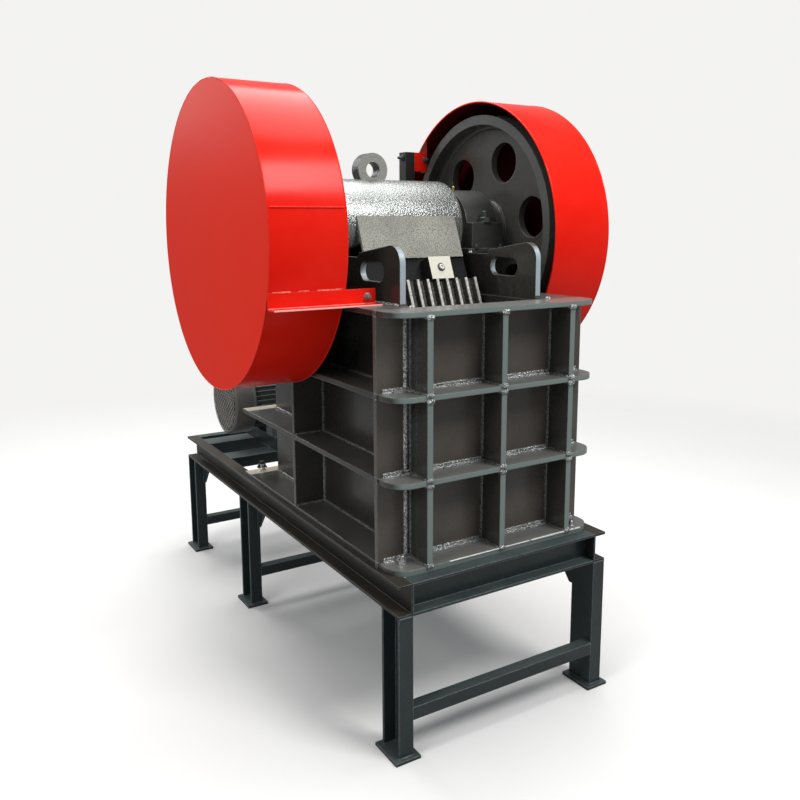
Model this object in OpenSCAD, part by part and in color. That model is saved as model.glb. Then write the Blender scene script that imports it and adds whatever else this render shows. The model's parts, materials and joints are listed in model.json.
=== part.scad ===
// Jaw crusher on a channel stand, with two guarded flywheels and a motor at the rear.
// Units are mm. X runs along the main shaft, -Y is the ribbed front, Z is up, the floor is Z = 0.
// Lengths along Y are given from the front face of the stand.

/* [Stand] */
// length of the side rails
stand_length = 1986; // [1600:1:2400]
// width over the toes of both side rails
stand_width = 810; // [650:1:1000]
// height of the rail tops above the floor
stand_height = 553; // [300:1:900]
// depth of the channel section
channel_depth = 100; // [80:1:140]
// flange width of the channel section
channel_flange = 48; // [40:1:60]
// web thickness of the channel section
web_t = 5.3; // [4:0.1:8]
// flange thickness of the channel section
flange_t = 8.5; // [6:0.1:12]
// front face of the middle legs, from the stand front
mid_leg_y = 1187; // [900:1:1400]
// length of a foot plate along Y
foot_length = 126; // [100:1:180]
// width of a foot plate along X
foot_width = 86; // [60:1:140]
// thickness of a foot plate
foot_t = 10; // [6:1:20]
// top of the low cross ties above the floor
tie_top_z = 163; // [100:1:300]
// leg length of the tie angle
tie_size = 40; // [30:1:60]
// wall of the tie angle
tie_wall = 4; // [3:0.5:6]
// length of a gusset along the rail
gusset_length = 90; // [50:1:150]
// height of a gusset down the leg
gusset_height = 110; // [50:1:150]
// thickness of a gusset
gusset_t = 8; // [5:1:12]

/* [Crusher body] */
// front edge of ribs and belts, from the stand front
body_front_y = 43; // [0:1:100]
// rear edge of the belts
body_rear_y = 1240; // [1100:1:1400]
// half width over the belts
belt_half_width = 391; // [340:1:450]
// outer corner radius of the belts
belt_corner_r = 70; // [10:1:90]
// thickness of the belts
belt_t = 16; // [10:1:30]
// thickness of the base plate
base_t = 18; // [10:1:40]
// top of the lower belt above the base plate
lower_belt_h = 264; // [180:1:330]
// top of the upper belt above the base plate
upper_belt_h = 517; // [420:1:600]
// top of the top flange above the base plate
top_flange_h = 760; // [680:1:860]
// front face of the front plate, from the stand front
front_plate_y = 139; // [100:1:200]
// thickness of front plate, side ribs and rear plate
plate_t = 16; // [10:1:30]
// how far the front plate stands out past the belts
plate_overhang = 4; // [0:1:10]
// thickness of the vertical front ribs
rib_t = 20; // [10:1:30]
// spacing of the vertical front ribs
rib_pitch = 270; // [220:1:320]
// outer face of the side walls from the middle
wall_outer_x = 272; // [240:1:320]
// thickness of the side walls
wall_t = 20; // [14:1:30]
// rear edge of the side walls
wall_rear_y = 1180; // [1000:1:1300]
// front face of the vertical side ribs
side_rib_y = 740; // [600:1:900]

/* [Ears and bearing seat] */
// front edge of the ears
ear_front_y = 205; // [160:1:260]
// top of the ears above the base plate
ear_top_h = 940; // [900:1:990]
// corner radius of the ears
ear_corner_r = 55; // [20:1:90]
// rear end of the ears
ear_rear_y = 470; // [400:1:560]
// middle of the ear hole along Y
ear_hole_y = 375; // [340:1:390]
// middle of the ear hole above the top flange
ear_hole_rise = 96; // [70:1:110]
// height of the ear hole
ear_hole_h = 62; // [30:1:80]
// length of the ear hole along Y
ear_hole_l = 149; // [82:1:160]
// height of the shaft axis above the side walls under the bearings
bearing_rise = 82; // [76:1:110]
// rear end of the bearing seat
seat_rear_y = 1000; // [950:1:1100]

/* [Rotor] */
// shaft axis, from the stand front
shaft_y = 783; // [700:1:850]
// shaft axis above the base plate
shaft_h = 979; // [950:1:1020]
// journal radius of the shaft
shaft_r = 60; // [40:1:80]
// radius of the eccentric part
eccentric_r = 78; // [60:1:100]
// throw of the eccentric
throw = 10; // [4:1:20]
// how far the shaft ends stand out past the rims
shaft_stickout = 8; // [0:1:20]
// radial running clearance of shaft in its bores
running_gap = 0.05; // [0.02:0.01:0.1]
// outer radius of the flywheels
wheel_r = 436; // [380:1:470]
// inner radius of the rim
rim_inner_r = 400; // [340:1:430]
// gap along X between the inner edge of a drum and its rim
rim_side_gap = 29; // [20:1:40]
// width of the rim
rim_width = 150; // [100:1:200]
// how far the web sits inside the rim face
web_inset = 62; // [20:1:90]
// thickness of the web
web_disc_t = 28; // [15:1:50]
// radius of the hub
hub_r = 105; // [80:1:140]
// number of holes in the web
web_holes = 6; // [4:1:8]
// radius of the web holes
web_hole_r = 76; // [40:1:85]
// radius of the circle of the web holes
web_hole_circle = 270; // [200:1:300]
// angle of the first web hole, in degrees
web_hole_phase = 50; // [0:1:60]

/* [Bearings] */
// how far a housing stands off the inner face of the wall
housing_standoff = 30; // [6:1:34]
// width of a housing along the shaft
housing_width = 140; // [120:1:145]
// half length of a housing along Y
housing_half_y = 183; // [150:1:220]
// height of the housing's shoulders above the shaft axis
shoulder_rise = 27; // [10:1:40]
// outer radius of the cap
cap_r = 150; // [120:1:170]
// thickness of the seat plate under a housing
seat_plate_t = 14; // [8:1:30]
// radius of the end cover
cover_r = 104; // [80:1:140]
// thickness of the end cover
cover_t = 16; // [6:1:20]

/* [Jaw] */
// outer radius of the pitman head
head_r = 172; // [160:1:180]
// half length of the pitman head
head_half = 245; // [220:1:248]
// half width of pitman body and jaw plates
jaw_half = 205; // [180:1:210]
// distance from the shaft to the pitman's front face, at right angles to it
jaw_seat = 188; // [178:1:195]
// thickness of the pitman's front wall
jaw_wall_t = 74; // [50:1:90]
// lean of the moving jaw from the vertical, in degrees
lean = 22; // [15:0.5:28]
// distance from the shaft to the lower end of the moving jaw, along its face
jaw_reach = 847; // [750:1:900]
// length of the moving jaw plate
jaw_length = 575; // [520:1:580]
// thickness of a jaw plate without teeth
jaw_plate_t = 36; // [30:1:45]
// height of the jaw teeth
tooth_h = 16; // [8:1:20]
// half width of a tooth at its root
tooth_root = 14; // [8:1:18]
// half width of a tooth at its tip
tooth_tip = 4.5; // [2:0.5:8]
// spacing of the jaw teeth
tooth_pitch = 40; // [30:1:60]
// thickness of the cheek plates
cheek_t = 33; // [15:1:34]
// half width of the sheet over the pitman's front
apron_half = 201; // [180:1:205]
// lower edge of that sheet below the shaft axis, along the jaw
apron_length = 179; // [160:1:185]
// upper edge of that sheet, where the head's casting stands out over the wall
apron_top = 24; // [10:1:60]
// thickness of that sheet
apron_t = 8; // [4:1:10]
// left edge of the clamp that holds the jaw plate
clamp_x = 20; // [-100:1:60]
// width of the clamp
clamp_width = 90; // [60:1:120]
// height of the clamp along the jaw
clamp_height = 80; // [60:1:85]

/* [Toggle end] */
// how far the toggle seat sits below the lower end of the pitman's wall
toggle_drop = 17; // [0:1:30]
// rear face of the toggle seat on the pitman
toggle_front_y = 540; // [530:1:560]
// gap between toggle seat and toggle plate, with the jaw at the rear of its stroke
toggle_gap = 6; // [5:1:10]
// thickness of the toggle plate
toggle_t = 36; // [20:1:40]
// depth of the toggle seat below the plate
seat_depth = 20; // [15:1:30]
// height of the toggle seat above the plate
seat_rise = 70; // [50:1:80]
// front face of the toggle beam
beam_front_y = 860; // [800:1:900]
// depth of the toggle beam below the plate
beam_depth = 90; // [70:1:110]
// height of the toggle beam above the plate
beam_rise = 60; // [45:1:80]
// wall of the toggle beam
beam_wall = 20; // [12:1:30]
// height of the opening between toggle plate and rear plate
rear_opening = 190; // [120:1:220]
// tension rod above the base plate
rod_h = 89; // [80:1:110]
// radius of the tension rod
rod_r = 14; // [10:1:18]
// front end of the tension rod
rod_front_y = 470; // [460:1:480]
// plate on the tension rod that the spring presses on
rod_plate_y = 1326; // [1300:1:1360]
// outer radius of the spring
spring_r = 42; // [35:1:50]

/* [Lifting eye] */
// middle of the eye along X
eye_x = -41; // [-80:1:80]
// outer radius of the eye
eye_r = 60; // [50:1:70]
// radius of its hole
eye_hole_r = 28; // [20:1:35]
// thickness of the eye along Y
eye_t = 50; // [30:1:60]
// middle of the hole above the top of the head
eye_rise = 44; // [40:1:50]

/* [Guards] */
// outer radius of the guard drums
guard_r = 503; // [460:1:540]
// how far the drums sit below the shaft axis
guard_drop = 20; // [0:1:40]
// gap along X between the belts and the drums
guard_side_gap = 12; // [8:1:30]
// width of the drums
guard_width = 250; // [200:1:300]
// sheet thickness of the drums
guard_t = 4; // [2:0.5:6]
// size of the angle that carries a drum
bracket_size = 50; // [30:1:70]
// thickness of that angle
bracket_t = 5; // [3:1:8]
// gap along X between that angle and the left wall
bracket_gap = 30; // [10:1:50]
// rear face of that angle
bracket_y = 300; // [280:1:330]
// front face of the posts
post_y = 1090; // [1070:1:1110]
// top of the posts above the shaft axis
post_rise = 316; // [290:1:330]
// height of the tab between post and drum
tab_height = 77; // [60:1:100]
// width of a post
post_width = 44; // [40:1:70]
// gap along X between a post and its drum
post_gap = 62; // [50:1:70]
// sheet thickness of posts and tabs
post_t = 6; // [4:1:10]

/* [Motor] */
// shaft height of the motor
motor_axis_h = 160; // [132:1:225]
// height of the slide rails under the motor
slide_rail_h = 62; // [20:1:100]
// half length of the slide rails
slide_rail_half = 190; // [180:1:240]
// radius of the fan cover
fan_r = 158; // [150:1:170]
// radius of the motor housing without its fins
motor_r = 138; // [130:1:142]
// depth of the fan cover
fan_depth = 85; // [70:1:100]
// length of the motor from fan cover to drive end
motor_length = 530; // [480:1:560]
// length of the motor's shaft end
shaft_end_l = 110; // [105:1:120]
// radius of the motor's shaft end
shaft_end_r = 21; // [19:1:24]
// outer radius of the belt pulley
pulley_r = 90; // [80:1:110]
// width of the belt pulley
pulley_width = 90; // [70:1:90]
// half distance between the motor's feet along Y
foot_spread = 127; // [120:1:135]
// side of a motor foot
foot_side = 70; // [60:1:80]
// first foot from the end of the fan cover
first_foot_x = 200; // [190:1:210]
// distance between the feet along X
foot_pitch = 220; // [200:1:230]
// middle of the motor along Y
motor_y = 1700; // [1550:1:1750]
// end face of the fan cover along X
fan_x = -311; // [-350:1:-200]

/* [Hidden] */
$fn = 96;
y0 = -stand_length / 2;
half_w = stand_width / 2;
web_x = half_w - channel_flange;
rail_low_z = stand_height - channel_depth;
rear_leg_y = stand_length - channel_depth;
wall_in_x = wall_outer_x - wall_t;
base_top_z = stand_height + base_t;
lower_belt_z = base_top_z + lower_belt_h;
upper_belt_z = base_top_z + upper_belt_h;
top_flange_z = base_top_z + top_flange_h;
ear_top_z = base_top_z + ear_top_h;
ear_hole_z = top_flange_z + ear_hole_rise;
shaft_z = base_top_z + shaft_h;
seat_z = shaft_z - bearing_rise;
front_plate_half = belt_half_width + plate_overhang;
guard_in_x = belt_half_width + guard_side_gap;
wheel_in_x = guard_in_x + rim_side_gap;
shaft_half = wheel_in_x + rim_width + shaft_stickout;
housing_in_x = wall_in_x + housing_standoff;
levels = [base_top_z, lower_belt_z, upper_belt_z, top_flange_z];
plate_back_y = front_plate_y + plate_t;
tier_low = [base_top_z, lower_belt_z, upper_belt_z];
tier_top = [lower_belt_z - belt_t, upper_belt_z - belt_t, top_flange_z - belt_t];
guard_z = shaft_z - guard_drop;
guard_out_x = guard_in_x + guard_width;
axis_y = shaft_y + throw;
jaw_back = jaw_seat - jaw_wall_t;
clamp_low = jaw_reach - jaw_length;
toggle_z = shaft_z + jaw_back * sin(lean) - jaw_reach * cos(lean) - toggle_drop;
head_bend = 20;
chamber_low_z = toggle_z - seat_depth;
rear_plate_low_z = toggle_z + rear_opening;
rod_z = base_top_z + rod_h;
post_top_z = shaft_z + post_rise;
motor_z = stand_height + slide_rail_h + motor_axis_h;
motor_feet_x = [fan_x + first_foot_x, fan_x + first_foot_x + foot_pitch];
red = [0.78, 0.10, 0.06];
charcoal = [0.17, 0.19, 0.19];
steel = [0.62, 0.62, 0.60];
dark = [0.10, 0.11, 0.11];

module place() {
  translate([0, y0, 0]) children();
}

module both_sides() {
  children();
  mirror([1, 0, 0]) children();
}

// block from low corner to high corner
module block(a, b) {
  translate(a) cube([b[0] - a[0], b[1] - a[1], b[2] - a[2]]);
}

// outline in the YZ plane, as thick as x1 - x0
module side_plate(x0, x1, pts) {
  translate([x0, 0, 0])
    rotate([90, 0, 90])
      linear_extrude(x1 - x0) polygon(pts);
}

// round bar along X
module bar_x(x0, x1, y, z, r) {
  translate([x0, y, z]) rotate([0, 90, 0]) cylinder(r = r, h = x1 - x0);
}

// channel section: web on X = 0, toes towards -X, depth along Y
module channel_profile() {
  translate([-web_t, 0]) square([web_t, channel_depth]);
  translate([-channel_flange, 0]) square([channel_flange, flange_t]);
  translate([-channel_flange, channel_depth - flange_t]) square([channel_flange, flange_t]);
}

module side_rail() {
  translate([-web_x, 0, stand_height])
    rotate([-90, 0, 0]) linear_extrude(stand_length) channel_profile();
}

module side_rails() {
  color(charcoal) place() both_sides() side_rail();
}

// rail across the stand, toes towards the front
module cross_rail(y) {
  translate([web_x, y, stand_height])
    rotate([0, 0, 90]) rotate([-90, 0, 0]) linear_extrude(2 * web_x) channel_profile();
}

module cross_rails() {
  color(charcoal) place() {
    cross_rail(channel_flange);
    cross_rail(body_rear_y + 40);
    translate([0, stand_length, 0]) mirror([0, 1, 0]) cross_rail(channel_flange);
  }
}

module leg(y) {
  translate([-web_x, y, foot_t])
    linear_extrude(rail_low_z - foot_t) channel_profile();
  translate([-web_x - channel_flange / 2 - foot_width / 2, y + channel_depth / 2 - foot_length / 2, 0])
    cube([foot_width, foot_length, foot_t]);
}

// gusset under the rail; dir is +1 behind the leg and -1 in front of it
module gusset(y, dir) {
  side_plate(-web_x - gusset_t, -web_x,
    [[y, rail_low_z], [y + dir * gusset_length, rail_low_z],
     [y + dir * gusset_length, rail_low_z - 15], [y + dir * 15, rail_low_z - gusset_height],
     [y, rail_low_z - gusset_height]]);
}

module tie(y) {
  block([-web_x, y, tie_top_z - tie_size], [web_x, y + tie_wall, tie_top_z]);
  block([-web_x, y, tie_top_z - tie_wall], [web_x, y + tie_size, tie_top_z]);
}

module legs_front() {
  color(charcoal) place() both_sides() {
    leg(0);
    gusset(channel_depth, 1);
  }
}

module legs_middle() {
  color(charcoal) place() both_sides() {
    leg(mid_leg_y);
    gusset(mid_leg_y + channel_depth, 1);
    gusset(mid_leg_y, -1);
  }
}

module legs_rear() {
  color(charcoal) place() both_sides() {
    leg(rear_leg_y);
    gusset(rear_leg_y, -1);
  }
}

module leg_ties() {
  color(charcoal) place()
    for (y = [0, mid_leg_y, rear_leg_y]) tie(y);
}

// outline of every belt level, with rounded front corners
module belt_outline() {
  r = belt_corner_r;
  for (sx = [-1, 1])
    translate([sx * (belt_half_width - r), body_front_y + r]) circle(r);
  translate([-belt_half_width + r, body_front_y]) square([2 * belt_half_width - 2 * r, r]);
  translate([-belt_half_width, body_front_y + r])
    square([2 * belt_half_width, body_rear_y - body_front_y - r]);
}

// the part of every level that lies between two corners of the plan
module belt_strips(low, high) {
  for (i = [0:3]) {
    t = i == 0 ? base_t : belt_t;
    translate([0, 0, levels[i] - t]) linear_extrude(t) intersection() {
      translate(low) square([high[0] - low[0], high[1] - low[1]]);
      belt_outline();
    }
  }
}

module front_belts() {
  color(charcoal) place()
    belt_strips([-belt_half_width, body_front_y], [belt_half_width, front_plate_y]);
}

module right_belts() {
  color(charcoal) place()
    belt_strips([wall_outer_x, plate_back_y], [belt_half_width, wall_rear_y]);
}

module left_belts() {
  color(charcoal) place()
    belt_strips([-belt_half_width, plate_back_y], [-wall_outer_x, wall_rear_y]);
}

module rear_belts() {
  color(charcoal) place()
    belt_strips([-belt_half_width, wall_rear_y], [belt_half_width, body_rear_y]);
}

module front_plate() {
  color(charcoal) place()
    block([-front_plate_half, front_plate_y, stand_height], [front_plate_half, plate_back_y, top_flange_z]);
}

module rear_plate() {
  color(charcoal) place()
    block([-wall_in_x, wall_rear_y - plate_t, rear_plate_low_z], [wall_in_x, wall_rear_y, top_flange_z]);
}

module wall() {
  difference() {
    union() {
      side_plate(wall_in_x, wall_outer_x,
        [[plate_back_y, stand_height], [wall_rear_y, stand_height], [wall_rear_y, top_flange_z],
         [seat_rear_y + 60, seat_z - 40], [seat_rear_y, seat_z], [ear_rear_y, seat_z],
         [ear_rear_y - 10, seat_z + 15], [ear_front_y + ear_corner_r, ear_top_z],
         [ear_front_y, ear_top_z - ear_corner_r], [ear_front_y, top_flange_z],
         [plate_back_y, top_flange_z]]);
      bar_x(wall_in_x, wall_outer_x, ear_front_y + ear_corner_r, ear_top_z - ear_corner_r, ear_corner_r);
    }
    for (s = [-1, 1])
      bar_x(wall_in_x - 1, wall_outer_x + 1, ear_hole_y + s * (ear_hole_l - ear_hole_h) / 2,
        ear_hole_z, ear_hole_h / 2);
    block([wall_in_x - 1, ear_hole_y - (ear_hole_l - ear_hole_h) / 2, ear_hole_z - ear_hole_h / 2],
      [wall_outer_x + 1, ear_hole_y + (ear_hole_l - ear_hole_h) / 2, ear_hole_z + ear_hole_h / 2]);
  }
}

module right_wall() {
  color(charcoal) place() wall();
}

module left_wall() {
  color(charcoal) place() mirror([1, 0, 0]) wall();
}

module front_ribs() {
  color(charcoal) place()
    for (i = [0:2], s = [-1:1])
      block([s * rib_pitch - rib_t / 2, body_front_y, tier_low[i]],
        [s * rib_pitch + rib_t / 2, front_plate_y, tier_top[i]]);
}

module side_ribs() {
  color(charcoal) place() both_sides()
    for (i = [0:2])
      block([wall_outer_x, side_rib_y, tier_low[i]],
        [belt_half_width - 2, side_rib_y + plate_t, tier_top[i]]);
}

// place along Y of a face that leans with the jaw, by its distance from the shaft and its height
function jaw_face_y(distance, z) = axis_y - distance / cos(lean) - (shaft_z - z) * tan(lean);

// outline of a toothed plate in plan: one tooth in the middle, the outer teeth cut by the sides
module tooth_row() {
  n = floor((jaw_half + tooth_root) / tooth_pitch);
  intersection() {
    union() {
      translate([-jaw_half, 0]) square([2 * jaw_half, jaw_plate_t]);
      for (i = [-n:n])
        translate([i * tooth_pitch, jaw_plate_t])
          polygon([[-tooth_root, -1], [tooth_root, -1], [tooth_tip, tooth_h], [-tooth_tip, tooth_h]]);
    }
    translate([-jaw_half, 0]) square([2 * jaw_half, jaw_plate_t + tooth_h]);
  }
}

// toothed plate: back on y = 0, teeth towards +y, from z = 0 upwards
module toothed_plate(length) {
  linear_extrude(length) tooth_row();
}

module fixed_jaw_plate() {
  color(dark) place()
    translate([0, plate_back_y, chamber_low_z])
      toothed_plate(top_flange_z - 8 - chamber_low_z);
}

// side liners of the crushing chamber, a little wider than the gap between the jaws
module cheek_plates() {
  low = chamber_low_z + 20;
  high = top_flange_z - 6;
  color(dark) place() both_sides()
    side_plate(wall_in_x - cheek_t, wall_in_x,
      [[plate_back_y, low], [jaw_face_y(jaw_seat, low) + 15, low],
       [jaw_face_y(jaw_seat, high) + 15, high], [plate_back_y, high]]);
}

module bearing() {
  x1 = housing_in_x + housing_width;
  base_z = seat_z + seat_plate_t;
  difference() {
    union() {
      block([wall_in_x + 4, shaft_y - housing_half_y - 12, seat_z],
        [x1 + 4, shaft_y + housing_half_y + 12, base_z]);
      block([housing_in_x, shaft_y - housing_half_y, base_z],
        [x1, shaft_y + housing_half_y, shaft_z + shoulder_rise]);
      bar_x(housing_in_x, x1, shaft_y, shaft_z, cap_r);
      bar_x(x1, x1 + cover_t, shaft_y, shaft_z, cover_r);
    }
    bar_x(wall_in_x, x1 + cover_t + 1, shaft_y, shaft_z, shaft_r + running_gap);
    block([wall_in_x, shaft_y - cap_r - 1, seat_z - 200], [x1 + 50, shaft_y + cap_r + 1, seat_z]);
  }
}

module right_bearing() {
  color(charcoal) place() bearing();
}

module left_bearing() {
  color(charcoal) place() mirror([1, 0, 0]) bearing();
}

// drum with a closed outer disc, and a tab across its open side for the post
module guard() {
  difference() {
    bar_x(guard_in_x, guard_out_x, shaft_y, guard_z, guard_r);
    bar_x(guard_in_x - 1, guard_out_x - guard_t, shaft_y, guard_z, guard_r - guard_t);
  }
  intersection() {
    block([guard_in_x, post_y + post_t + 2, post_top_z - tab_height - 4],
      [guard_in_x + post_t, post_y + 48, guard_z + guard_r]);
    bar_x(guard_in_x, guard_out_x, shaft_y, guard_z, guard_r - 1);
  }
  block([guard_in_x - post_gap - 13, post_y + post_t, post_top_z - tab_height],
    [guard_in_x + post_t - 2, post_y + 2 * post_t, post_top_z]);
}

module right_guard() {
  color(red) place() guard();
}

module left_guard() {
  color(red) place() mirror([1, 0, 0]) guard();
}

// angle from the top flange to the left drum
module guard_bracket() {
  x0 = wall_outer_x + bracket_gap;
  y1 = bracket_y + bracket_t;
  color(red) place() mirror([1, 0, 0]) difference() {
    union() {
      block([x0, bracket_y, top_flange_z], [guard_out_x, y1, top_flange_z + bracket_size]);
      block([x0, y1 - bracket_size, top_flange_z], [guard_out_x, y1, top_flange_z + bracket_t]);
    }
    bar_x(guard_in_x, guard_out_x + 1, shaft_y, guard_z, guard_r);
  }
}

// angle that stands on the top flange and holds the tab of a drum
module guard_post() {
  x1 = guard_in_x - post_gap;
  block([x1 - post_width, post_y, top_flange_z], [x1, post_y + post_t, post_top_z]);
  block([x1 - post_width, post_y, top_flange_z],
    [x1 - post_width + post_t, post_y + 50, post_top_z]);
}

module guard_posts() {
  color(charcoal) place() both_sides() guard_post();
}

// box beam between the side walls
module toggle_beam() {
  color(charcoal) place() difference() {
    block([-wall_in_x, beam_front_y, toggle_z - beam_depth], [wall_in_x, wall_rear_y, toggle_z + beam_rise]);
    block([-wall_in_x - 1, beam_front_y + 2 * beam_wall, toggle_z - beam_depth + beam_wall],
      [wall_in_x + 1, wall_rear_y - beam_wall, toggle_z + beam_rise - beam_wall]);
  }
}

module toggle_plate() {
  front = toggle_front_y + toggle_gap;
  color(dark) place()
    side_plate(-jaw_half + 10, jaw_half - 10,
      [[front, toggle_z + 8], [beam_front_y, toggle_z - toggle_t],
       [beam_front_y, toggle_z], [front, toggle_z + 8 + toggle_t]]);
}

// two cross members, web up, with two slide rails on them
module motor_seat() {
  color(charcoal) place() {
    for (y = [motor_y - slide_rail_half - 5, motor_y + slide_rail_half - channel_depth])
      translate([-web_x, y, stand_height]) {
        block([0, 0, -web_t], [2 * web_x, channel_depth, 0]);
        block([0, 0, -channel_flange], [2 * web_x, flange_t, 0]);
        block([0, channel_depth - flange_t, -channel_flange], [2 * web_x, channel_depth, 0]);
      }
    for (x = motor_feet_x)
      block([x - 30, motor_y - slide_rail_half, stand_height],
        [x + 30, motor_y + slide_rail_half, stand_height + slide_rail_h]);
  }
}

module motor_body() {
  z = motor_z;
  x0 = fan_x + fan_depth;
  x1 = fan_x + motor_length;
  color(charcoal) place() {
    bar_x(x0, x0 + 12, motor_y, z, fan_r);
    bar_x(x0 + 12, x1 - 50, motor_y, z, motor_r);
    bar_x(x1 - 50, x1 - 25, motor_y, z, motor_r + 14);
    bar_x(x1 - 25, x1, motor_y, z, motor_r - 12);
    for (x = motor_feet_x, s = [-1, 1])
      block([x - foot_side / 2, motor_y + s * foot_spread - foot_side / 2, stand_height + slide_rail_h],
        [x + foot_side / 2, motor_y + s * foot_spread + foot_side / 2, z - 60]);
    bar_x(x1, x1 + shaft_end_l, motor_y, z, shaft_end_r);
  }
}

module fan_cover() {
  color(charcoal) place()
    difference() {
      bar_x(fan_x, fan_x + fan_depth, motor_y, motor_z, fan_r);
      bar_x(fan_x + 3, fan_x + fan_depth + 1, motor_y, motor_z, fan_r - 3);
    }
}

module motor_pulley() {
  x0 = fan_x + motor_length + 15;
  color(dark) place()
    difference() {
      bar_x(x0, x0 + pulley_width, motor_y, motor_z, pulley_r);
      bar_x(x0 - 1, x0 + pulley_width + 1, motor_y, motor_z, shaft_end_r);
    }
}

module main_shaft() {
  color(steel) place() {
    bar_x(-shaft_half, -head_half, shaft_y, shaft_z, shaft_r);
    bar_x(head_half, shaft_half, shaft_y, shaft_z, shaft_r);
    bar_x(-head_half, head_half, axis_y, shaft_z, eccentric_r);
  }
}

module flywheel() {
  x0 = wheel_in_x;
  difference() {
    union() {
      difference() {
        bar_x(x0, x0 + rim_width, shaft_y, shaft_z, wheel_r);
        bar_x(x0 - 1, x0 + rim_width + 1, shaft_y, shaft_z, rim_inner_r);
      }
      bar_x(x0 + web_inset, x0 + web_inset + web_disc_t, shaft_y, shaft_z, rim_inner_r + 1);
      bar_x(x0 + 20, x0 + rim_width - 10, shaft_y, shaft_z, hub_r);
    }
    bar_x(x0, x0 + rim_width + 1, shaft_y, shaft_z, shaft_r);
    for (i = [0:web_holes - 1])
      bar_x(x0 + 1, x0 + rim_width,
        shaft_y + web_hole_circle * cos(i * 360 / web_holes + web_hole_phase),
        shaft_z + web_hole_circle * sin(i * 360 / web_holes + web_hole_phase), web_hole_r);
  }
}

module right_flywheel() {
  color(charcoal) place() flywheel();
}

module left_flywheel() {
  color(charcoal) place() mirror([1, 0, 0]) flywheel();
}

// frame of the moving jaw: origin on the eccentric axis, local z up along the leaning face
module jaw_frame() {
  translate([0, axis_y, shaft_z]) rotate([-lean, 0, 0]) children();
}

// round head with its flattened front, wall behind the jaw plate, three ribs and the toggle seat
module pitman() {
  seat_low = toggle_z - seat_depth;
  out = jaw_seat + apron_t;
  near = head_r - 3;
  // angle of the flat that runs from the head's front down into its round top
  turn = acos(near / norm([out, head_bend])) + atan(head_bend / out);
  color(steel) place() difference() {
    union() {
      bar_x(-head_half, head_half, axis_y, shaft_z, head_r);
      jaw_frame() {
        side_plate(-head_half, head_half,
          [[-out, head_bend], [-out, -apron_top], [-head_r / 2, -apron_top],
           [-head_r / 2, head_r / 2], [-near * cos(turn), near * sin(turn)]]);
        side_plate(-jaw_half, jaw_half,
          [[-jaw_seat, head_bend - 4], [-jaw_seat, -jaw_reach], [-jaw_back, -jaw_reach],
           [-jaw_back, -30], [-head_r / 2 - 28, head_r * 0.61]]);
        for (s = [-1, 0, 1])
          translate([s * (jaw_half - 25), 0, 0])
            side_plate(-15, 15, [[-jaw_back - 10, -jaw_reach + 30], [-jaw_back + 80, -jaw_reach + 90],
              [head_r - 44, -100], [-jaw_back - 10, -100]]);
      }
      side_plate(-jaw_half + 5, jaw_half - 5,
        [[jaw_face_y(jaw_back + 4, toggle_z + 30), toggle_z + 30],
         [jaw_face_y(jaw_back, toggle_z + 30) + 45, seat_low],
         [toggle_front_y, seat_low], [toggle_front_y, toggle_z + seat_rise],
         [jaw_face_y(jaw_back + 4, toggle_z + 90), toggle_z + 90]]);
    }
    bar_x(-head_half - 1, head_half + 1, axis_y, shaft_z, eccentric_r + running_gap);
  }
}

module moving_jaw_plate() {
  color(dark) place() jaw_frame()
    translate([0, -jaw_seat, -jaw_reach]) mirror([0, 1, 0]) toothed_plate(jaw_length);
}

// sheet on the pitman's front wall, and the clamp on top of the jaw plate
module apron() {
  color(steel) place() jaw_frame() {
    block([-apron_half, -jaw_seat - apron_t, -apron_length], [apron_half, -jaw_seat, -apron_top]);
    block([clamp_x, -jaw_seat - jaw_plate_t - tooth_h, -clamp_low],
      [clamp_x + clamp_width, -jaw_seat, -clamp_low + clamp_height]);
  }
}

// ring with a flared foot on top of the head
module lifting_eye() {
  foot = eye_r + 6;
  color(dark) place() difference() {
    translate([eye_x, axis_y + eye_t / 2, shaft_z + head_r + eye_rise]) rotate([90, 0, 0]) difference() {
      union() {
        cylinder(r = eye_r, h = eye_t);
        linear_extrude(eye_t)
          polygon([[-foot, -eye_rise - 14], [foot, -eye_rise - 14],
            [0.75 * eye_r, -0.5 * eye_r], [-0.75 * eye_r, -0.5 * eye_r]]);
      }
      translate([0, 0, -1]) cylinder(r = eye_hole_r, h = eye_t + 2);
    }
    bar_x(eye_x - 2 * eye_r, eye_x + 2 * eye_r, axis_y, shaft_z, head_r);
  }
}

module tension_rod() {
  color(steel) place() {
    translate([0, rod_front_y, rod_z]) rotate([-90, 0, 0])
      cylinder(r = rod_r, h = rod_plate_y + 34 - rod_front_y);
    translate([0, rod_plate_y, rod_z]) rotate([-90, 0, 0]) cylinder(r = spring_r, h = 12);
    block([-18, rod_front_y - 15, rod_z - 30], [18, rod_front_y + 45, toggle_z - seat_depth]);
  }
}

// plate under the toggle beam that takes the spring of the tension rod
module spring_seat() {
  color(charcoal) place() difference() {
    block([-70, wall_rear_y, rod_z - 60], [70, wall_rear_y + plate_t, lower_belt_z - belt_t]);
    translate([0, wall_rear_y - 1, rod_z]) rotate([-90, 0, 0]) cylinder(r = spring_r - 12, h = plate_t + 2);
  }
}

module return_spring() {
  start = wall_rear_y + plate_t;
  length = rod_plate_y - 30 - start;
  color(steel) place() difference() {
    translate([0, start, rod_z]) rotate([-90, 0, 0]) cylinder(r = spring_r, h = length);
    translate([0, start - 1, rod_z]) rotate([-90, 0, 0]) cylinder(r = spring_r - 12, h = length + 2);
  }
}

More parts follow.
